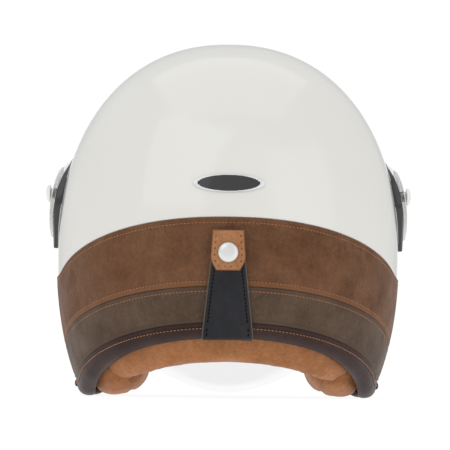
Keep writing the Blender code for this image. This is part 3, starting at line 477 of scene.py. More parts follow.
def metal(name, colour, rough, brushed="Z", metallic=1.0):
    """Metal with fine drawn lines and a little smearing."""
    m = Material(name, colour, rough, Metallic=metallic)
    factors = [60.0 if axis == brushed else 2600.0 for axis in "XYZ"]
    lines = m.noise(1.0, 3.0, at=m.vector("MULTIPLY", m.at, factors))
    m.put("Base Color", m.ramp(m.noise(150.0, 4.0), (0.3, scaled(colour, 0.9)), (0.7, colour)))
    m.put("Roughness", m.ramp(lines, (0.3, rough * 0.8), (0.7, rough * 1.3)))
    m.put("Normal", m.bump(lines, 0.08, 0.03))
    return m.data


def clear_plastic():
    """Clear polycarbonate: see-through face on, more glossy and solid toward the edges."""
    m = Material("clear_polycarbonate", (0.26, 0.27, 0.28), IOR=1.9, Coat_Weight=0.5,
                 Coat_Roughness=0.02)
    facing = m.node("LayerWeight", {"Blend": 0.35}).outputs["Facing"]
    tint = m.math("SUBTRACT", 0.1, m.math("MULTIPLY", m.edge_mark(), 0.055))
    glare = m.math("MULTIPLY", m.math("POWER", facing, 3.0), 0.4)
    m.put("Alpha", m.math("ADD", tint, glare))
    m.put("Roughness", m.ramp(m.noise(300.0, 4.0), (0.4, 0.02), (0.8, 0.09)))
    return m.data


def thread(name, colour, sheen=0.3, specular=0.5):
    """Twisted sewing thread."""
    m = Material(name, colour, 0.6, Sheen_Weight=sheen, Specular_IOR_Level=specular)
    ply = m.wave(900.0, 1.0, "DIAGONAL")
    m.put("Base Color", m.ramp(ply, (0.2, scaled(colour, 0.6)), (0.8, scaled(colour, 1.25))))
    m.put("Normal", m.bump(ply, 0.5, 0.1))
    return m.data


SHELL = shell_paint()
COVER = plastic("cream_gloss_cover", (0.72, 0.70, 0.63), 0.14, coat=0.6)
# Each leather: its dark, middle and light tones, then the tone laid on its edge mark: worn edges on
# the upper leather, tab and strap; painted shade along the seams on the middle band, trim and pads
UPPER = leather("brown_upper_leather", (0.098, 0.038, 0.014), (0.150, 0.064, 0.027),
                (0.195, 0.088, 0.040), (0.205, 0.086, 0.034), crease=0.5)
MIDDLE = leather("taupe_middle_leather", (0.066, 0.038, 0.022), (0.094, 0.056, 0.034),
                 (0.124, 0.076, 0.048), (0.075, 0.046, 0.031))
TRIM = leather("dark_trim_leather", (0.026, 0.011, 0.009), (0.035, 0.016, 0.013),
               (0.047, 0.023, 0.019), (0.030, 0.013, 0.011), rough=(0.40, 0.52), crease=0.15,
               wrinkle=0.06)
TAN = leather("tan_lining_leather", (0.285, 0.108, 0.036), (0.385, 0.155, 0.057),
              (0.470, 0.205, 0.082), (0.24, 0.09, 0.035), rough=(0.5, 0.66), crease=0.22)
TAB = leather("tan_tab_leather", (0.300, 0.122, 0.045), (0.385, 0.168, 0.070),
              (0.460, 0.215, 0.098), (0.20, 0.075, 0.03), crease=0.2)
STRAP = leather("black_strap_leather", (0.010, 0.0105, 0.0130), (0.0155, 0.016, 0.020),
                (0.024, 0.025, 0.030), (0.13, 0.105, 0.075), rough=(0.42, 0.56), crease=0.1,
                wrinkle=0.05)
LINING = knit("brown_knit_lining", (0.20, 0.095, 0.045), (0.30, 0.15, 0.075))
WEBBING = webbing()
FOAM = foam()
BLACK = plastic("black_satin_plastic", (0.018, 0.018, 0.020), 0.32, 0.15)
GLOSS_BLACK = plastic("black_gloss_plastic", (0.014, 0.014, 0.017), 0.14, coat=0.5)
RUBBER = plastic("black_rubber", (0.016, 0.016, 0.016), 0.75, 0.3)
RAW_SHELL = plastic("raw_shell_inside", (0.035, 0.035, 0.037), 0.7, 0.3)
RED = plastic("red_release_tab", (0.42, 0.02, 0.018), 0.35, 0.1)
KNOB = metal("satin_silver_knob", (0.93, 0.93, 0.94), 0.5, "X", 0.45)
STEEL = metal("brushed_steel", (0.56, 0.56, 0.57), 0.3)
SILVER = metal("satin_silver", (0.83, 0.83, 0.83), 0.38, "X")
BLACK_STEEL = metal("black_steel", (0.05, 0.05, 0.055), 0.35)
CLEAR = clear_plastic()
ORANGE_THREAD = thread("orange_brown_thread", (0.37, 0.140, 0.048))
DARK_THREAD = thread("dark_brown_thread", (0.055, 0.024, 0.014))
BLACK_THREAD = thread("black_thread", (0.003, 0.003, 0.0035), 0.02, 0.02)


# ---------- mesh making

def on_form(point):
    """A mesh point, in metres, as a millimetre point of the form."""
    return point / MM - SHIFT


def linked(name, data):
    obj = bpy.data.objects.new(name, data)
    bpy.context.scene.collection.objects.link(obj)
    return obj


def applied(obj):
    """Put what a piece's modifiers make of it in place of its mesh."""
    bpy.context.view_layer.update()
    shape = obj.evaluated_get(bpy.context.evaluated_depsgraph_get())
    mesh = bpy.data.meshes.new_from_object(shape)
    obj.modifiers.clear()
    obj.data = mesh
    return mesh


def face_out(bm):
    bm.normal_update()
    bmesh.ops.recalc_face_normals(bm, faces=bm.faces)
    if bm.calc_volume(signed=True) < 0.0:
        bmesh.ops.reverse_faces(bm, faces=bm.faces)


def piece(name, bm, mats, body, nodes=(), smooth=50.0):
    """Write a bmesh in millimetres as a visible piece; it rides on a body if one is named."""
    for vert in bm.verts:
        vert.co = (vert.co + SHIFT) * MM
    face_out(bm)
    mesh = bpy.data.meshes.new(name)
    bm.to_mesh(mesh)
    bm.free()
    obj = linked(name, mesh)
    for mat in mats if isinstance(mats, list) else [mats]:
        mesh.materials.append(mat)
    mesh.shade_smooth()
    mesh.set_sharp_from_angle(angle=math.radians(smooth))
    if body:
        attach(obj, body)
    if nodes:
        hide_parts(*nodes)
    return obj


def set_attribute(obj, values):
    layer = obj.data.attributes.new("edge", "FLOAT", "POINT")
    layer.data.foreach_set("value", values)


def grid_faces(bm, rows, closed=False):
    """Quads between rows of vertices; closed rows join their ends."""
    count = len(rows[0])
    for a, b in zip(rows, rows[1:]):
        for j in range(count if closed else count - 1):
            k = (j + 1) % count
            bm.faces.new((a[j], b[j], b[k], a[k]))


def tube(bm, rings):
    """Closed rings of points joined into a tube with flat ends."""
    rows = [[bm.verts.new(p) for p in ring] for ring in rings]
    grid_faces(bm, rows, closed=True)
    bm.faces.new(rows[0])
    bm.faces.new(rows[-1][::-1])


def loft(rings):
    bm = bmesh.new()
    tube(bm, rings)
    return bm


def slab(nu, nv, point):
    """Closed slab: point(u, v, k) gives the near (0) and far (1) faces."""
    bm = bmesh.new()
    grids = [[[bm.verts.new(point(i / nu, j / nv, k)) for j in range(nv + 1)]
              for i in range(nu + 1)] for k in (0, 1)]
    for rows in grids:
        grid_faces(bm, rows)
    near, far = grids
    for i in range(nu):
        for j in (0, nv):
            bm.faces.new((near[i][j], near[i + 1][j], far[i + 1][j], far[i][j]))
    for j in range(nv):
        for i in (0, nu):
            bm.faces.new((near[i][j], near[i][j + 1], far[i][j + 1], far[i][j]))
    return bm


def lathe(axis, at, profile, segments=64):
    """Turned piece: profile of (station, radius) along X or Y."""
    rings = []
    for station, radius in profile:
        ring = []
        for i in range(segments):
            t = 2.0 * math.pi * i / segments
            c, s = radius * math.cos(t), radius * math.sin(t)
            ring.append((station, at[0] + c, at[1] + s) if axis == "x"
                        else (at[0] + c, station, at[1] + s))
        rings.append(ring)
    return loft(rings)


def disc_map(u, v):
    """Square grid to round disc, without a pinched middle."""
    a, b = 2.0 * u - 1.0, 2.0 * v - 1.0
    return a * math.sqrt(1.0 - b * b / 2.0), b * math.sqrt(1.0 - a * a / 2.0)


SMOOTH_DEG = 40.0


def copy_of(node, name, mat, body, bevel):
    """A CAD part's own shape with its corners rounded and its shading smoothed."""
    bm = bmesh.new()
    bm.from_mesh(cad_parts[node].data)
    bmesh.ops.remove_doubles(bm, verts=bm.verts, dist=1e-6)
    bmesh.ops.dissolve_limit(bm, angle_limit=math.radians(1.0), verts=bm.verts, edges=bm.edges)
    for vert in bm.verts:
        vert.co = on_form(vert.co)
    obj = piece(name, bm, mat, body, [node], SMOOTH_DEG)
    if bevel:
        rounding = obj.modifiers.new("rounding", "BEVEL")
        rounding.width = bevel * MM
        rounding.segments = 3
        rounding.limit_method = "ANGLE"
        rounding.angle_limit = math.radians(SMOOTH_DEG)
        rounding.harden_normals = True


# One stitch from end to end: station over its half length, thickness over its radius, rise
STITCH = ((-1.0, 0.45, -0.42), (-0.72, 0.9, -0.06), (0.0, 1.0, 0.10), (0.72, 0.9, -0.06),
          (1.0, 0.45, -0.42))
STITCH_SLANT = 0.12


def stitches(name, path, mat, body, length=2.05, radius=0.34, pitch=2.6):
    """Sewn thread: a short raised stitch at every pitch along a path with normals."""
    bm = bmesh.new()
    lengths = [0.0]
    for (a, _), (b, _) in zip(path, path[1:]):
        lengths.append(lengths[-1] + (b - a).length)
    count = int(lengths[-1] / pitch)
    step = lengths[-1] / count
    seat = 0
    for i in range(count):
        target = (i + 0.5) * step
        while lengths[seat + 1] < target:
            seat += 1
        t = (target - lengths[seat]) / (lengths[seat + 1] - lengths[seat])
        (p0, n0), (p1, n1) = path[seat], path[seat + 1]
        middle, up = p0.lerp(p1, t), n0.lerp(n1, t).normalized()
        run = (p1 - p0).normalized()
        side = run.cross(up).normalized()
        rings = []
        for s, wide, rise in STITCH:
            centre = middle + run * (s * length / 2.0) + up * rise + side * (STITCH_SLANT * s)
            rings.append([centre + (side * math.cos(a) + up * math.sin(a)) * radius * wide
                          for a in (math.pi * k / 3.0 for k in range(6))])
        tube(bm, rings)
    piece(name, bm, mat, body, smooth=60.0)


# ---------- shell and leather

AROUND = 200


def dome_ring(height, off):
    """Closed ring of points round the form at a height line."""
    ring = []
    for i in range(AROUND):
        phi = 2.0 * math.pi * i / AROUND
        z = height(0.0)
        for _ in range(8):
            rho = form_radius(phi, z, off)
            z = height(rho * math.cos(phi))
        ring.append(Vector((rho * math.sin(phi), rho * math.cos(phi), z)))
    return ring


def dome_side(base, off, steps):
    """Rings from a base line up toward the crown, and the crown point."""
    top = MID_Z + RISE + off
    rings = [dome_ring(mix(base, lambda y: top, math.sin(math.pi / 2.0 * k / steps)), off)
             for k in range(1, steps)]
    return rings, Vector((0.0, 0.0, top))


def shell():
    """Glossy outer shell, recessed under the leather, cut out at the face."""
    foot, lip = level(LOWER_EDGE, SHELL_FOOT), level(BAND_TOP, 0.3)
    outer = [dome_ring(mix(foot, lip, t), -RECESS) for t in (0, 0.2, 0.4, 0.6, 0.8, 1)]
    for lift, off in ((0.35, -0.5), (0.6, -0.12), (1.2, 0.0)):
        outer.append(dome_ring(level(BAND_TOP, lift), off))
    more, top = dome_side(level(BAND_TOP, 1.2), 0.0, 44)
    inner = [dome_ring(mix(foot, lip, t), -SHELL_WALL) for t in (0, 0.25, 0.5, 0.75, 1)]
    inside, under = dome_side(lip, -SHELL_WALL, 24)
    bm = bmesh.new()
    feet = []
    for rings, tip in ((outer + more, top), (inner + inside, under)):
        rows = [[bm.verts.new(p) for p in ring] for ring in rings]
        grid_faces(bm, rows, closed=True)
        crown = bm.verts.new(tip)
        for a, b in zip(rows[-1], rows[-1][1:] + rows[-1][:1]):
            bm.faces.new((a, b, crown))
        feet.append(rows[0])
    grid_faces(bm, feet, closed=True)
    obj = piece("glossy_shell", bm, SHELL, "helmet", ["outer_shell"])
    outline = face_curve(3.6) + [(260, -30), (260, 200)]
    cutter = piece("face_cutter", loft([[(x, y, z) for y, z in outline] for x in (-190, 190)]),
                   SHELL, "helmet")
    cut = obj.modifiers.new("face", "BOOLEAN")
    cut.operation = "DIFFERENCE"
    cut.object = cutter
    mesh = applied(obj)
    bpy.data.objects.remove(cutter)
    true_normals(mesh)
    mesh.materials.append(RAW_SHELL)
    for polygon in mesh.polygons:
        p = on_form(polygon.center)
        if form_normal(p).dot(polygon.normal) < 0.4 and level_offset(p) < -1.6:
            polygon.material_index = 1


def true_normals(mesh):
    """Give the glossy outside the form's exact normals, so reflections run clean."""
    normals = []
    for polygon in mesh.polygons:
        for index in polygon.vertices:
            p = on_form(mesh.vertices[index].co)
            out = form_normal(p)
            outside = abs(form_value(p) - 1.0) < 0.0012 and out.dot(polygon.normal) > 0.8
            normals.append(out if outside else polygon.normal)
    mesh.normals_split_custom_set(normals)


# Lift from a leather edge, and the offset of the leather there
LEATHER_EDGE = ((0.0, -0.35), (0.12, 0.12), (0.35, 0.42), (0.8, 0.62), (1.6, 0.72), (2.3, 0.66))


def seam_profile(stitch, far):
    """Lifts from an edge and the leather's height there: rolled edge, then a stitched dip."""
    dip = [(stitch - 0.7, 0.62), (stitch - 0.3, 0.42), (stitch, 0.33), (stitch + 0.3, 0.42),
           (stitch + 0.8, 0.62)]
    return [p for p in LEATHER_EDGE if p[0] < stitch - 0.8] + dip + [(far, 0.68)]


def waved(point, amount):
    """The slack of hand-stretched leather, in millimetres."""
    return amount * noise(point * 0.045) + 0.4 * amount * noise(point * 0.16)


def strip(name, section, end, mat, node, cols=260):
    """Leather strip round the form: section is (height line, offset, edge mark); the mark is edge
    wear on the upper band, painted seam shade on the middle band and trim.
    """
    rings = []
    for i in range(cols + 1):
        ring = []
        for height, off, _ in section:
            p = around(i / cols, height, end, off)
            if off > LEATHER_IN:
                p += form_normal(p) * waved(p, 0.09)
            ring.append(p)
        rings.append(ring)
    obj = piece(name, loft(rings), mat, "helmet", [node])
    set_attribute(obj, [edge_levels for _ in rings for _, _, edge_levels in section])


def band_section(low, high, low_stitch, high_stitch, low_edge_tone, high_edge_tone):
    """Section of a leather band: edge lines, stitch distances from them, and edge marks (wear on
    the upper band, painted seam shade on the middle band).
    """
    bottom = [(level(low, lift), off, low_edge_tone * smooth_step(lift, 3.6, 1.8))
              for lift, off in seam_profile(low_stitch, 7.0)]
    top = [(level(high, -lift), off, high_edge_tone * smooth_step(lift, 4.0, 0.5))
           for lift, off in seam_profile(high_stitch, 7.0)]
    a, b = level(low, 7.0), level(high, -7.0)
    middle = [(mix(a, b, t), 0.66, 0.0) for t in (0.2, 0.4, 0.6, 0.8)]
    back = [(mix(level(low), level(high), t), LEATHER_IN, 0.0) for t in (0.995, 0.5, 0.005)]
    return bottom + middle + top[::-1] + back


def seam_path(edge, lift, end, off, samples=420):
    """Points and normals for a row of stitches along an edge line."""
    path = []
    for i in range(samples + 1):
        p = around(i / samples, level(edge, lift), end, 0.0)
        up = form_normal(p)
        path.append((p + up * off, up))
    return path


def leathers():
    end = face_y(UNDER_TRIM)
    strip("upper_leather", band_section(SEAM_ONE, BAND_TOP, 3.2, 3.7, 0.55, 0.12), end, UPPER,
          "upper_leather_band")
    # The middle band's edge marks darken it along both seams: painted shade in the seam grooves
    strip("middle_leather", band_section(SEAM_TWO, SEAM_ONE, 2.6, 3.0, 0.6, 0.5), end, MIDDLE,
          "middle_leather_band")
    for label, edge, lift in (("upper_low", SEAM_ONE, 3.2), ("middle_top", SEAM_ONE, -3.0),
                              ("upper_top", BAND_TOP, -3.7)):
        stitches("stitching_" + label, seam_path(edge, lift, end, 0.42), ORANGE_THREAD,
                 "helmet")
    rolled_trim()


def tucked(off, lift):
    """Height of the lower edge carried level inward from the outside."""
    return lambda y: edge_height(LOWER_EDGE, y * (1.0 - off / 125.0)) + lift


def rolled_trim():
    """Dark leather rolled round the lower edge and folded up inside."""
    tip = face_y(0.6)
    low, high = level(LOWER_EDGE), level(SEAM_TWO, -0.15)
    # The top rows' edge marks darken the trim where it runs under the middle leather: a painted
    # shadow line
    section = [(high, LEATHER_IN, 0.0), (high, 0.2, 0.4), (level(SEAM_TWO, -0.4), 0.62, 0.4),
               (level(SEAM_TWO, -1.0), 0.82, 0.2), (level(SEAM_TWO, -1.9), 0.9, 0.0),
               (level(SEAM_TWO, -2.3), 0.84, 0.0), (level(SEAM_TWO, -2.6), 0.8, 0.0),
               (level(SEAM_TWO, -3.0), 0.88, 0.0), (level(SEAM_TWO, -3.6), 1.05, 0.0)]
    section += [(mix(low, high, t), off, 0.0)
                for t, off in ((0.6, 1.4), (0.48, 1.62), (0.35, 1.66), (0.24, 1.4), (0.15, 0.9),
                               (0.08, 0.2), (0.035, -0.7), (0.008, -1.8))]
    section += [(tucked(off, lift), off, 0.0)
                for off, lift in ((-3.0, 0.0), (-4.2, 0.05), (-5.2, 0.35), (-5.8, 1.0),
                                  (TRIM_RETURN, 1.8), (TRIM_RETURN, TRIM_FOOT))]
    section.append((level(LOWER_EDGE, TRIM_FOOT), LEATHER_IN, 0.0))
    strip("rolled_lower_trim", section, tip, TRIM, "lower_edge_trim")
    stitches("stitching_trim", seam_path(SEAM_TWO, -2.75, face_y(UNDER_TRIM), 1.42),
             ORANGE_THREAD, "helmet")


def face_path():
    """Points along the face opening, left foot to right foot."""
    line, edge_y = face_curve(0.2), face_y(0.2)
    foot = edge_height(LOWER_EDGE, edge_y(6.0)) + 1.4
    side = [p for p in line if p[0] < 92.0 and p[1] > foot + 0.5]
    side.append((edge_y(foot), foot))
    points = [Vector((form_x(y, z, 0.0), y, z)) for y, z in side]
    first = points[0]
    phi0 = math.atan2(first.x, first.y)
    brow = []
    z = first.z
    for i in range(1, 41):
        phi = phi0 * (1.0 - i / 40)
        for _ in range(10):
            y = form_radius(phi, z, 0.0) * math.cos(phi)
            for (ya, za), (yb, zb) in zip(line, line[1:]):
                if yb <= y <= ya and za > 100.0:
                    z = zb + (za - zb) * (y - yb) / (ya - yb)
                    break
        rho = form_radius(phi, z, 0.0)
        brow.append(Vector((rho * math.sin(phi), rho * math.cos(phi), z)))
    half = points[::-1] + brow
    return [Vector((-p.x, p.y, p.z)) for p in half] + half[:-1][::-1]


def face_trim():
    """Moulded channel over the shell's face edge; its section as (offset, distance back)."""
    outside = [(0.5, FACE_TRIM), (1.3, FACE_TRIM + 0.05), (1.75, FACE_TRIM - 0.3),
               (2.0, FACE_TRIM - 1.0), (2.05, 4.5), (2.0, 2.2), (1.7, 1.1), (1.1, 0.4), (0.2, 0.05)]
    inside = [(-4.6, 0.05), (-5.5, 0.5), (-6.0, 1.4), (-6.0, FACE_TRIM), (-4.7, FACE_TRIM),
              (-4.7, 1.6), (0.5, 1.6)]
    path = face_path()
    rings = []
    for i, p in enumerate(path):
        out = form_normal(p)
        back = heading(path, i).cross(out).normalized()
        if i in (0, len(path) - 1):
            back = (BEHIND - out * BEHIND.dot(out)).normalized()
        rings.append([p + out * off + back * dist for off, dist in outside + inside])
    obj = piece("face_edge_channel", loft(rings), TRIM, "helmet", ["face_edge_trim"])
    set_attribute(obj, [0.0] * len(obj.data.vertices))


# ---------- padded lining

PAD_PRESSURE = 4.0
PAD_FRAMES = 16
PAD_VOXEL = 4.5
PAD_SWELL = 3.0


def level_offset(p):
    """How far a point stands off the form, level, negative inside."""
    return math.hypot(p.x, p.y) - form_radius(math.atan2(p.x, p.y), p.z, 0.0)


def freedom(p):
    """1 on the free faces of the padding, 0 where it rests on foam, trim or shell.

    Below the foam the pads lie against the shell, and their own thickness sets what is free.
    """
    off = level_offset(p)
    if p.z < edge_height(LINER_EDGE, p.y) - 1.0:
        low = smooth_step(p.z - edge_height(LOWER_EDGE, p.y), 14.0, 6.0)
        return max(smooth_step(off, -11.0, -16.0), low * smooth_step(off, -8.6, -10.0))
    return smooth_step(off, -36.0, -41.0)


def inflate(obj):
    """Cloth with inner pressure; returns where each vertex went."""
    cloth = obj.modifiers.new("cloth", "CLOTH")
    settings = cloth.settings
    settings.quality = 5
    settings.use_pressure = True
    settings.uniform_pressure_force = PAD_PRESSURE
    settings.effector_weights.gravity = 0.0
    settings.tension_stiffness = 12.0
    settings.compression_stiffness = 4.0
    settings.bending_stiffness = 0.6
    cloth.point_cache.frame_end = PAD_FRAMES
    scene = bpy.context.scene
    for number in range(1, PAD_FRAMES + 1):
        scene.frame_set(number)
    shape = obj.evaluated_get(bpy.context.evaluated_depsgraph_get())
    moved = [v.co.copy() for v in shape.to_mesh().vertices]
    shape.to_mesh_clear()
    obj.modifiers.remove(cloth)
    scene.frame_set(1)
    return moved


def pad(node, name, mat, relief):
    """Padded piece: remeshed, swollen by simulation on its free faces, then sewn."""
    obj = linked(name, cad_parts[node].data.copy())
    obj.data.materials.clear()
    obj.data.materials.append(mat)
    remesh = obj.modifiers.new("remesh", "REMESH")
    remesh.mode = "VOXEL"
    remesh.voxel_size = PAD_VOXEL * MM
    dense = applied(obj)
    start = [v.co.copy() for v in dense.vertices]
    moved = inflate(obj)
    for vert, a, b in zip(dense.vertices, start, moved):
        push = b - a
        if push.length > PAD_SWELL * MM:
            push = push.normalized() * PAD_SWELL * MM
        vert.co = a + push * freedom(on_form(a))
    smooth = obj.modifiers.new("smooth", "CORRECTIVE_SMOOTH")
    smooth.use_only_smooth = True
    smooth.iterations = 4
    finer = obj.modifiers.new("finer", "SUBSURF")
    finer.levels = finer.render_levels = 1
    fine = applied(obj)
    normals = [v.normal.copy() for v in fine.vertices]
    edge_mark = []
    for vert, out in zip(fine.vertices, normals):
        p = on_form(vert.co)
        depth, dark = relief(p)
        vert.co -= out * (depth * freedom(p) * MM)
        # The seam darkness is painted shade in the grooves, laid on the edge mark
        edge_mark.append(dark)
    fine.shade_smooth()
    set_attribute(obj, edge_mark)
    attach(obj, "helmet")
    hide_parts(node)


def groove(distance, width=1.6):
    return math.exp(-(distance / width) ** 2)


# Each relief returns how deep the surface sinks at a point, and how dark it is there: painted shade
# in the sunk seams, seen on the tan leather pads

def cheek_relief(p):
    """A seam round the inner face, and creases where the pad is squeezed at its ends."""
    seam = groove(abs(p.x) - 70.0 - 2.0 * math.sin(p.y * 0.04), 1.5)
    squeeze = smooth_step(abs(p.y - 4.0), 42.0, 68.0)
    fold = math.sin(p.z * 0.62 + 3.0 * noise(p * 0.05)) * 0.9 * squeeze
    return 1.3 * seam + fold + 0.5 * noise(p * 0.07), 0.75 * seam


def roll_relief(p):
    """Upright puckers in the neck roll, deepest near its ends."""
    phi = math.degrees(math.atan2(abs(p.x), -p.y))
    ends = smooth_step(phi, 22.0, 44.0)
    wave = math.sin(phi * 1.55 + 2.2 * noise(p * 0.06)) + 0.5 * math.sin(phi * 3.7 + p.z * 0.2)
    seam = groove(p.z - 60.0 + 0.02 * p.x * p.x * 0.1, 1.5)
    return (0.1 + 0.55 * ends) * wave * 0.55 + 0.25 * noise(p * 0.05) + 1.1 * seam, 0.7 * seam


def crown_relief(p):
    """Sewn channels over the crown pad: two along and two across."""
    lines = [abs(p.x) - 30.0, abs(p.y + 12.0) - 34.0]
    seam = max(groove(value, 1.8) for value in lines)
    return 2.2 * seam + 0.5 * noise(p * 0.06), 0.6 * seam


def band_relief(p):
    seam = max(groove(p.z - 142.0, 1.5), groove(p.z - 112.0, 1.5) if p.y > -60.0 else 0.0)
    return 1.4 * seam + 0.5 * noise(p * 0.06), 0.6 * seam


def lining():
    pad("neck_roll", "padded_neck_roll", TAN, roll_relief)
    for _, label in SIDES:
        pad("cheek_pad_" + label, "padded_cheek_" + label, TAN, cheek_relief)
    pad("crown_pad", "quilted_crown_pad", LINING, crown_relief)
    pad("temple_band", "padded_temple_band", LINING, band_relief)
    copy_of("impact_liner", "bead_foam_liner", FOAM, "helmet", 1.2)


# ---------- shield and ears

def shield():
    """Clear shield with rounded edges and a paler rim along its border."""
    edge_levels = []

    def point(u, v, k):
        side = -1.0 if u < 0.5 else 1.0
        s = max(1.0 - abs(2.0 * u - 1.0), 0.0)
        phi, low, high = shield_columns(s)
        z = low + (high - low) * v
        p = shield_point(phi, z)
        a = shield_point(phi + 0.01, z) - p
        b = shield_point(phi, z + 0.01) - p
        out = a.cross(b).normalized()
        if out.x * p.x + out.y * (p.y - PIVOT_Y) < 0.0:
            out = -out
        rim = min(z - low, high - z)
        round_off = 0.5 * smooth_step(rim, 0.9, 0.0)
        p = p + out * ((SHIELD_THICK - round_off) if k else round_off)
        edge_levels.append(smooth_step(rim, SHIELD_RIM + 0.5, SHIELD_RIM - 0.5))
        return Vector((side * p.x, p.y, p.z))
    obj = piece("clear_bubble_shield", slab(168, 56, point), CLEAR, "shield",
                ["clear_shield"])
    set_attribute(obj, edge_levels)


def side_covers():
    """Domed discs over the shield's ears, and the turned knobs through them."""
    knob = ((133.3, 5.4), (133.35, 6.2), (133.6, 6.5), (134.2, 6.55), (134.7, 6.45),
            (135.2, 6.15), (135.7, 5.6), (136.1, 4.8), (136.45, 3.6), (136.7, 2.2), (136.8, 0.8))
    for side, label in SIDES:
        def point(u, v, k):
            a, b = disc_map(u, v)
            y = PIVOT_Y + COVER_AT[0] + a * COVER_RADIUS
            z = PIVOT_Z + COVER_AT[1] + b * COVER_RADIUS
            x = shield_x(y, z) + SHIELD_THICK + 0.45
            fall = max(0.0, 1.0 - a * a - b * b)
            dome = 0.25 + 0.45 * min(1.0, fall / 0.06) ** 0.5 + 0.9 * fall ** 0.8 if k else 0.0
            return Vector((side * (x + dome), y, z))
        piece("gloss_cover_" + label, slab(48, 48, point), COVER, "shield",
              ["side_cover_" + label])
        turned = lathe("x", (PIVOT_Y, PIVOT_Z), [(side * s, r) for s, r in knob])
        piece("silver_knob_" + label, turned, KNOB, "helmet", ["pivot_knob_" + label])


def bezels():
    """Crescent channel behind each ear: two raised rims with a sunk groove between them."""
    outer = catmull(((12, 178.0), (-4, 174.5), (-15, 163.5), (-19, 149.5), (-18.5, 133),
                     (-12, 119), (-5, 108.5)), 8)
    inner = catmull(((10, 174.0), (0.0, 171.4), (-8.6, 164.0), (-12.8, 151), (-10.6, 138.4),
                     (-3.5, 127.0), (0, 111)), 8)
    last = len(outer) - 1
    for side, label in SIDES:
        def point(u, v, k):
            i = round(u * last)
            p = inner[i].lerp(outer[i], v)
            base = form_x(p.x, p.y, 0.35)
            half, height = EAR_BEZEL
            rise = abs((p.y - SHIELD_MID_Z) / (height if p.y > SHIELD_MID_Z else 260.0))
            top = half * (1.0 - rise ** POWER) ** (1.0 / POWER)
            dip = 1.1 * smooth_step(min(v, 1.0 - v), 0.16, 0.3)
            dip *= smooth_step(min(u, 1.0 - u), 0.02, 0.07)
            edge = 0.5 * smooth_step(min(v, 1.0 - v), 0.1, 0.0)
            top = max(top - dip - edge - (0.5 if v > 0.9 else 0.0), base + 0.8)
            return Vector((side * (top if k else base), p.x, p.y))
        piece("crescent_bezel_" + label, slab(last, 14, point), GLOSS_BLACK, "helmet",
              ["pivot_bezel_" + label])


# Parts that keep their CAD shape. At each side: node, piece, material, slot, corner radius
PAIRED_PARTS = (("pivot_base_", "ear_base_", BLACK, "black_plastic", 0.25),
                ("friction_washer_", "rubber_washer_", RUBBER, "black_rubber", 0.0),
                ("pivot_screw_", "steel_screw_", STEEL, "steel", 0.15),
                ("pivot_nut_", "steel_nut_", STEEL, "steel", 0.2),
                ("anchor_plate_", "steel_anchor_", STEEL, "steel", 0.2))
# Once: node, body, material, slot
SINGLE_PARTS = (("buckle_frame", "helmet", STEEL, "steel"),
                ("buckle_pin", "helmet", STEEL, "steel"),
                ("toothed_tongue", "helmet", BLACK, "black_plastic"),
                ("tongue_rivet", "helmet", STEEL, "steel"),
                ("buckle_lever", "lever", STEEL, "steel"),
                ("release_tab", "lever", RED, "red_tab"),
                ("snap_stud", "helmet", SILVER, "satin_silver"),
                ("snap_socket", "strap_flap", STEEL, "steel"))
# Station from the shell's skin and radius along the chin strap rivet
RIVET = ((-8.6, 1.4), (-8.3, 1.7), (1.4, 1.7), (1.45, 2.6), (1.9, 2.75), (2.6, 2.6), (3.2, 2.1),
         (3.6, 1.3), (3.75, 0.4))
RIVET_Z = 8.8


def hardware():
    skin = form_x(STRAP_Y, RIVET_Z, 0.0)
    for side, label in SIDES:
        for node, name, mat, slot, bevel in PAIRED_PARTS:
            copy_of(node + label, name + label, mat, "helmet", bevel)
        turned = [(side * (skin + s), r) for s, r in RIVET]
        piece("black_rivet_" + label, lathe("x", (STRAP_Y, RIVET_Z), turned, 40), BLACK_STEEL,
              "helmet", ["strap_rivet_" + label])
    for node, body, mat, slot in SINGLE_PARTS:
        copy_of(node, node + "_finished", mat, body, 0.18)


# ---------- rear strap and badge

def flap_rise(z):
    """How far the strap's back stands off the form."""
    return 2.0 + 1.7 * smooth_step(z, 56.0, 90.0)


def flap_half(z):
    t = (z - FLAP_HINGE_Z) / (FLAP_TOP_Z - FLAP_HINGE_Z)
    return FLAP_HALF[0] + (FLAP_HALF[1] - FLAP_HALF[0]) * t


def tip_half(z):
    t = (z - TIP_LOW) / (TIP_HIGH - TIP_LOW)
    if t < 0.35:
        return 8.0 + 3.9 * math.sin(math.pi / 2.0 * max(t, 0.0) / 0.35)
    return 11.9 - 1.2 * (t - 0.35) / 0.65


def rear_point(x, z, off):
    """Point off the back of the form, placed in rear view."""
    return Vector((x, form_y(x, z, off), z))


def tan_tip():
    """Cut leather tab: rounded, burnished edges and a sewn dip."""
    edge_levels = []

    def point(u, v, k):
        z = TIP_LOW + (TIP_HIGH - TIP_LOW) * v
        wide = tip_half(z)
        x = (2.0 * u - 1.0) * wide
        side = wide - abs(x)
        edge = min(side, z - TIP_LOW, TIP_HIGH - z)
        round_off = 0.42 * smooth_step(edge, 0.9, 0.0)
        sewn = 0.26 * groove(side - 2.3, 0.55)
        edge_levels.append(smooth_step(edge, 1.1, 0.1))
        lift = TIP_THICK - round_off - sewn if k else round_off
        return rear_point(x, z, flap_rise(z) + 1.95 + lift)
    obj = piece("tan_strap_tip", slab(60, 70, point), TAB, "strap_flap", ["strap_tip"])
    set_attribute(obj, edge_levels)


def strap_line(half, inset, z0, z1, off, side, samples=60):
    """Stitch path along one side of the strap."""
    path = []
    for i in range(samples + 1):
        z = z0 + (z1 - z0) * i / samples
        x = side * (half(z) - inset)
        path.append((rear_point(x, z, off(z)), BEHIND))
    return path


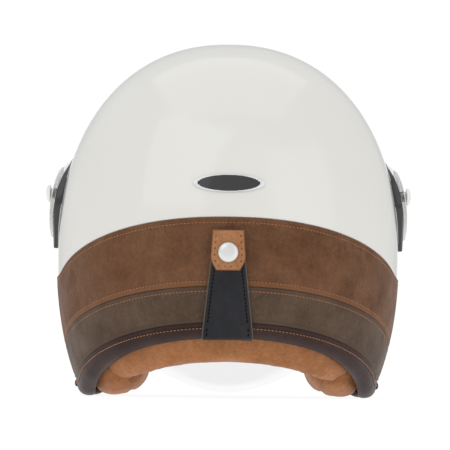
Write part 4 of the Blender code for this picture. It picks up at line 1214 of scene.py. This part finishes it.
def strap_spine():
    """The goggle strap's middle line (y, z, half width) from under the trim to its tip."""
    under = edge_height(LOWER_EDGE, -130.0) - 1.6
    line = [(-125.4, under, 17.5), (-129.0, under + 0.1, 17.5), (-131.0, under + 0.5, 17.5),
            (form_y(0.0, 44.0, 0.0) - 2.4, 43.0, 17.5)]
    heights = [45.5, 48.5] + [50.5 + 2.0 * i for i in range(31)]
    for z in heights:
        off = 2.9 if z < 50.0 else flap_rise(z) + 0.8
        line.append((form_y(0.0, z, 0.0) - off, z, flap_half(z) if z > 46.0 else 17.4))
    return line


def goggle_strap():
    """One leather strap: from under the trim, up the back of the helmet to its tip."""
    spine = [Vector(p) for p in strap_spine()]
    middle = catmull([(p.x, p.y) for p in spine], 3)
    widths = catmull([(p.z, 0.0) for p in spine], 3)
    last, edge_levels = len(middle) - 1, []

    def point(u, v, k):
        i = round(u * last)
        run = heading(middle, i)
        wide = widths[i].x
        x = (2.0 * v - 1.0) * wide
        side = wide - abs(x)
        edge = min(side, (last - i) * 0.67)
        edge_mark = smooth_step(edge, 1.0, 0.1)
        sewn = 0.3 * groove(side - STRAP_SEAM, 0.5)
        away = 0.8 - 0.42 * edge_mark * edge_mark - (sewn if k else 0.0)
        y, z = middle[i].x, middle[i].y
        y, z = (y - run.y * away, z + run.x * away) if k else (y + run.y * away, z - run.x * away)
        lift = form_y(x, max(z, 40.0), 0.0) - form_y(0.0, max(z, 40.0), 0.0)
        arch = edge_height(LOWER_EDGE, y + lift) - edge_height(LOWER_EDGE, y) if i < 9 else 0.0
        edge_levels.append(edge_mark)
        return Vector((x, y + lift, z + arch))
    obj = piece("black_goggle_strap", slab(last, 60, point), STRAP, None,
                ["goggle_strap", "strap_root"])
    set_attribute(obj, edge_levels)
    y = (form_y(0.0, FLAP_HINGE_Z, 0.0) - 3.0 + SHIFT.y) * MM
    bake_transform(obj)


def rear_strap():
    """The goggle strap with its tan tip, all its stitching and its snap cap."""
    goggle_strap()
    tan_tip()
    over = lambda z: flap_rise(z) + 1.42
    for side, label in SIDES:
        stitches("strap_stitching_" + label,
                 strap_line(flap_half, STRAP_SEAM, FLAP_HINGE_Z + 1.7, FLAP_TOP_Z - 18.0, over,
                            side), BLACK_THREAD, "strap_flap")
        stitches("strap_foot_stitching_" + label,
                 strap_line(lambda z: 17.4, STRAP_SEAM, 41.6, FLAP_HINGE_Z - 1.5,
                            lambda z: 3.55, side), BLACK_THREAD, "helmet")
    tab_top = lambda z: flap_rise(z) + 3.62
    high, low, inset = TIP_HIGH - 2.0, TIP_LOW + 4.5, 2.6
    left = strap_line(tip_half, inset, high, low, tab_top, -1.0, 40)
    right = strap_line(tip_half, inset, low, high, tab_top, 1.0, 40)
    turn = []
    for i in range(1, 20):
        angle = math.pi * i / 20
        x = -(tip_half(low) - inset) * math.cos(angle)
        z = low - 2.0 * math.sin(angle) ** 0.6
        turn.append((rear_point(x, z, tab_top(z)), BEHIND))
    stitches("tip_stitching", left + turn + right, DARK_THREAD, "strap_flap",
             length=1.5, radius=0.3, pitch=4.1)
    snap_cap()


# Height over the tab and radius along the snap cap, down to the end of its shank
SNAP_SHAPE = ((3.1, 0.8), (3.08, 2.4), (2.95, 3.8), (2.65, 5.0), (2.2, 5.9), (1.6, 6.55),
              (1.0, 6.9), (0.6, 6.9), (0.3, 6.6), (0.25, 5.0), (0.2, 2.2), (-3.4, 2.2))


def snap_cap():
    face = form_y(0.0, SNAP_Z, 0.0) - flap_rise(SNAP_Z) - 3.6
    turned = lathe("y", (0.0, SNAP_Z), [(face - s, r) for s, r in SNAP_SHAPE], 72)
    piece("silver_snap_cap", turned, SILVER, "strap_flap", ["snap_cap"])


def badge():
    """Plain oval badge: a dark field inside a raised silver rim, with nothing written on it."""
    field = plastic("badge_dark_field", (0.022, 0.021, 0.023), 0.22, coat=0.4)

    def point(u, v, k):
        a, b = disc_map(u, v)
        r = math.hypot(a, b)
        off = 0.3
        if k:
            off = 1.05 + 0.4 * smooth_step(r, 0.86, 0.9) * smooth_step(r, 1.0, 0.94)
        return rear_point(a * BADGE_HALF[0], BADGE_Z + b * BADGE_HALF[1], off)
    obj = piece("oval_badge", slab(64, 48, point), [field, SILVER], "helmet", ["rear_badge"])
    for polygon in obj.data.polygons:
        p = polygon.center / MM
        r = math.hypot(p.x / BADGE_HALF[0], (p.z - BADGE_Z) / BADGE_HALF[1])
        polygon.material_index = 1 if r > 0.87 else 0


# ---------- chin strap

def strap_path():
    """Webbing path in the cross plane through the rivets: distance from middle, height."""
    y = STRAP_Y
    wall = [(form_x(y, z, -6.0), z) for z in (4.8, 12.0, 18.0)]
    turn = [(form_x(y, 22.5, -7.4), 22.6), (form_x(y, 24.0, -12.5), 25.0),
            (form_x(y, 25.0, -26.0), 26.0), (form_x(y, 28.0, -34.5), 28.2)]
    rise = [(form_x(y, z, -36.8), z) for z in (36.0, 50.0, 65.0, 80.0, 91.0)]
    over = [(86.5, 96.5), (80.0, 98.2), (68.0, 98.0), (60.5, 95.5), (57.8, 90.0)]
    return wall + turn + rise + over


def chin_straps():
    """Black webbing from the rivets, up behind the cheek pads and down inside them."""
    ends = {"left": [(56.6, 86.0), (54.0, 82.0), (53.7, 76.0), (52.9, 73.3), (51.3, 72.3),
                     (49.7, 73.3), (48.9, 76.0), (48.9, 86.0)],
            "right": [(57.6, 84.0), (57.6, 72.0)]}
    for side, label in SIDES:
        path = catmull(strap_path() + ends[label], 4)

        def point(u, v, k):
            i = round(u * (len(path) - 1))
            run = heading(path, i)
            rib = 0.12 * math.cos(v * 14.0 * math.pi) - 0.35 * (abs(2.0 * v - 1.0) > 0.97)
            away = (WEB_THICK / 2.0 + rib) * (1.0 if k else -1.0)
            x, z = path[i].x - run.y * away, path[i].y + run.x * away
            return Vector((side * x, STRAP_Y + (2.0 * v - 1.0) * WEB_HALF, z))
        piece("woven_chin_strap_" + label, slab(len(path) - 1, 40, point), WEBBING, "helmet",
              ["chin_strap_" + label])


# ---------- scene

# Where the camera stands behind the helmet, how wide it sees there and what it looks at
CAMERA_BACK_M = 1.62
CAMERA_HEIGHT_M = 0.019
FIELD_M = 0.335
TARGET_Z_M = 0.1274
TARGET_X_M = -0.0024
ROLL_DEG = 0.6
SENSOR_MM = 36.0


def camera():
    data = bpy.data.cameras.new("camera")
    data.sensor_width = SENSOR_MM
    data.lens = SENSOR_MM * CAMERA_BACK_M / FIELD_M
    obj = linked("camera", data)
    obj.location = (TARGET_X_M, -CAMERA_BACK_M, CAMERA_HEIGHT_M)
    look = Vector((TARGET_X_M, 0.0, TARGET_Z_M)) - obj.location
    turn = look.to_track_quat("-Z", "Y").to_matrix().to_4x4()
    obj.rotation_euler = (turn @ Matrix.Rotation(math.radians(ROLL_DEG), 4, "Z")).to_euler()
    bpy.context.scene.camera = obj


def softbox(name, at, size, power):
    """Square area light aimed at the middle of the helmet; lengths in metres, power in watts."""
    data = bpy.data.lights.new(name, "AREA")
    data.shape = "SQUARE"
    data.size = size
    data.energy = power
    obj = linked(name, data)
    obj.location = at
    aim = Vector((0.0, 0.0, 0.12)) - Vector(at)
    obj.rotation_euler = aim.to_track_quat("-Z", "Y").to_euler()


def studio():
    """White room with greyer flanks beyond the object, so the gloss shows its form."""
    scene = bpy.context.scene
    scene.view_settings.view_transform = "Standard"
    world = bpy.data.worlds.new("studio")
    world.use_nodes = True
    scene.world = world
    tree = world.node_tree
    sky = tree.nodes["Background"]
    sky.inputs["Strength"].default_value = 0.74
    way = tree.nodes.new("ShaderNodeTexCoord")
    split = tree.nodes.new("ShaderNodeSeparateXYZ")
    shade = tree.nodes.new("ShaderNodeValToRGB")
    tree.links.new(way.outputs["Generated"], split.inputs[0])
    tree.links.new(split.outputs["Y"], shade.inputs["Fac"])
    tree.links.new(shade.outputs["Color"], sky.inputs["Color"])
    set_ramp(shade, ((0.0, 1.0), (0.5, 1.02), (0.8, 0.94), (0.95, 0.8), (0.98, 1.4)))
    softbox("key", (-1.3, -1.9, 1.9), 2.4, 9.0)
    softbox("fill", (1.9, -1.6, 1.1), 2.2, 5.0)
    softbox("top", (0.0, 0.2, 2.3), 2.4, 6.0)

    m = Material("pale_floor", (0.14, 0.14, 0.14), 0.9, Specular_IOR_Level=0.0,
                 Emission_Color=(1.0, 1.0, 1.0, 1.0), Emission_Strength=0.92)
    m.put("Base Color", m.ramp(m.noise(3.0), (0.3, 0.135), (0.7, 0.145)))
    bm = bmesh.new()
    bmesh.ops.create_grid(bm, x_segments=2, y_segments=2, size=6.0)
    mesh = bpy.data.meshes.new("floor")
    bm.to_mesh(mesh)
    bm.free()
    mesh.materials.append(m.data)
    floor = linked("floor", mesh)
    floor.location.z = -0.0002


camera()
studio()
shell()
leathers()
face_trim()
lining()
shield()
side_covers()
bezels()
hardware()
rear_strap()
badge()
chin_straps()
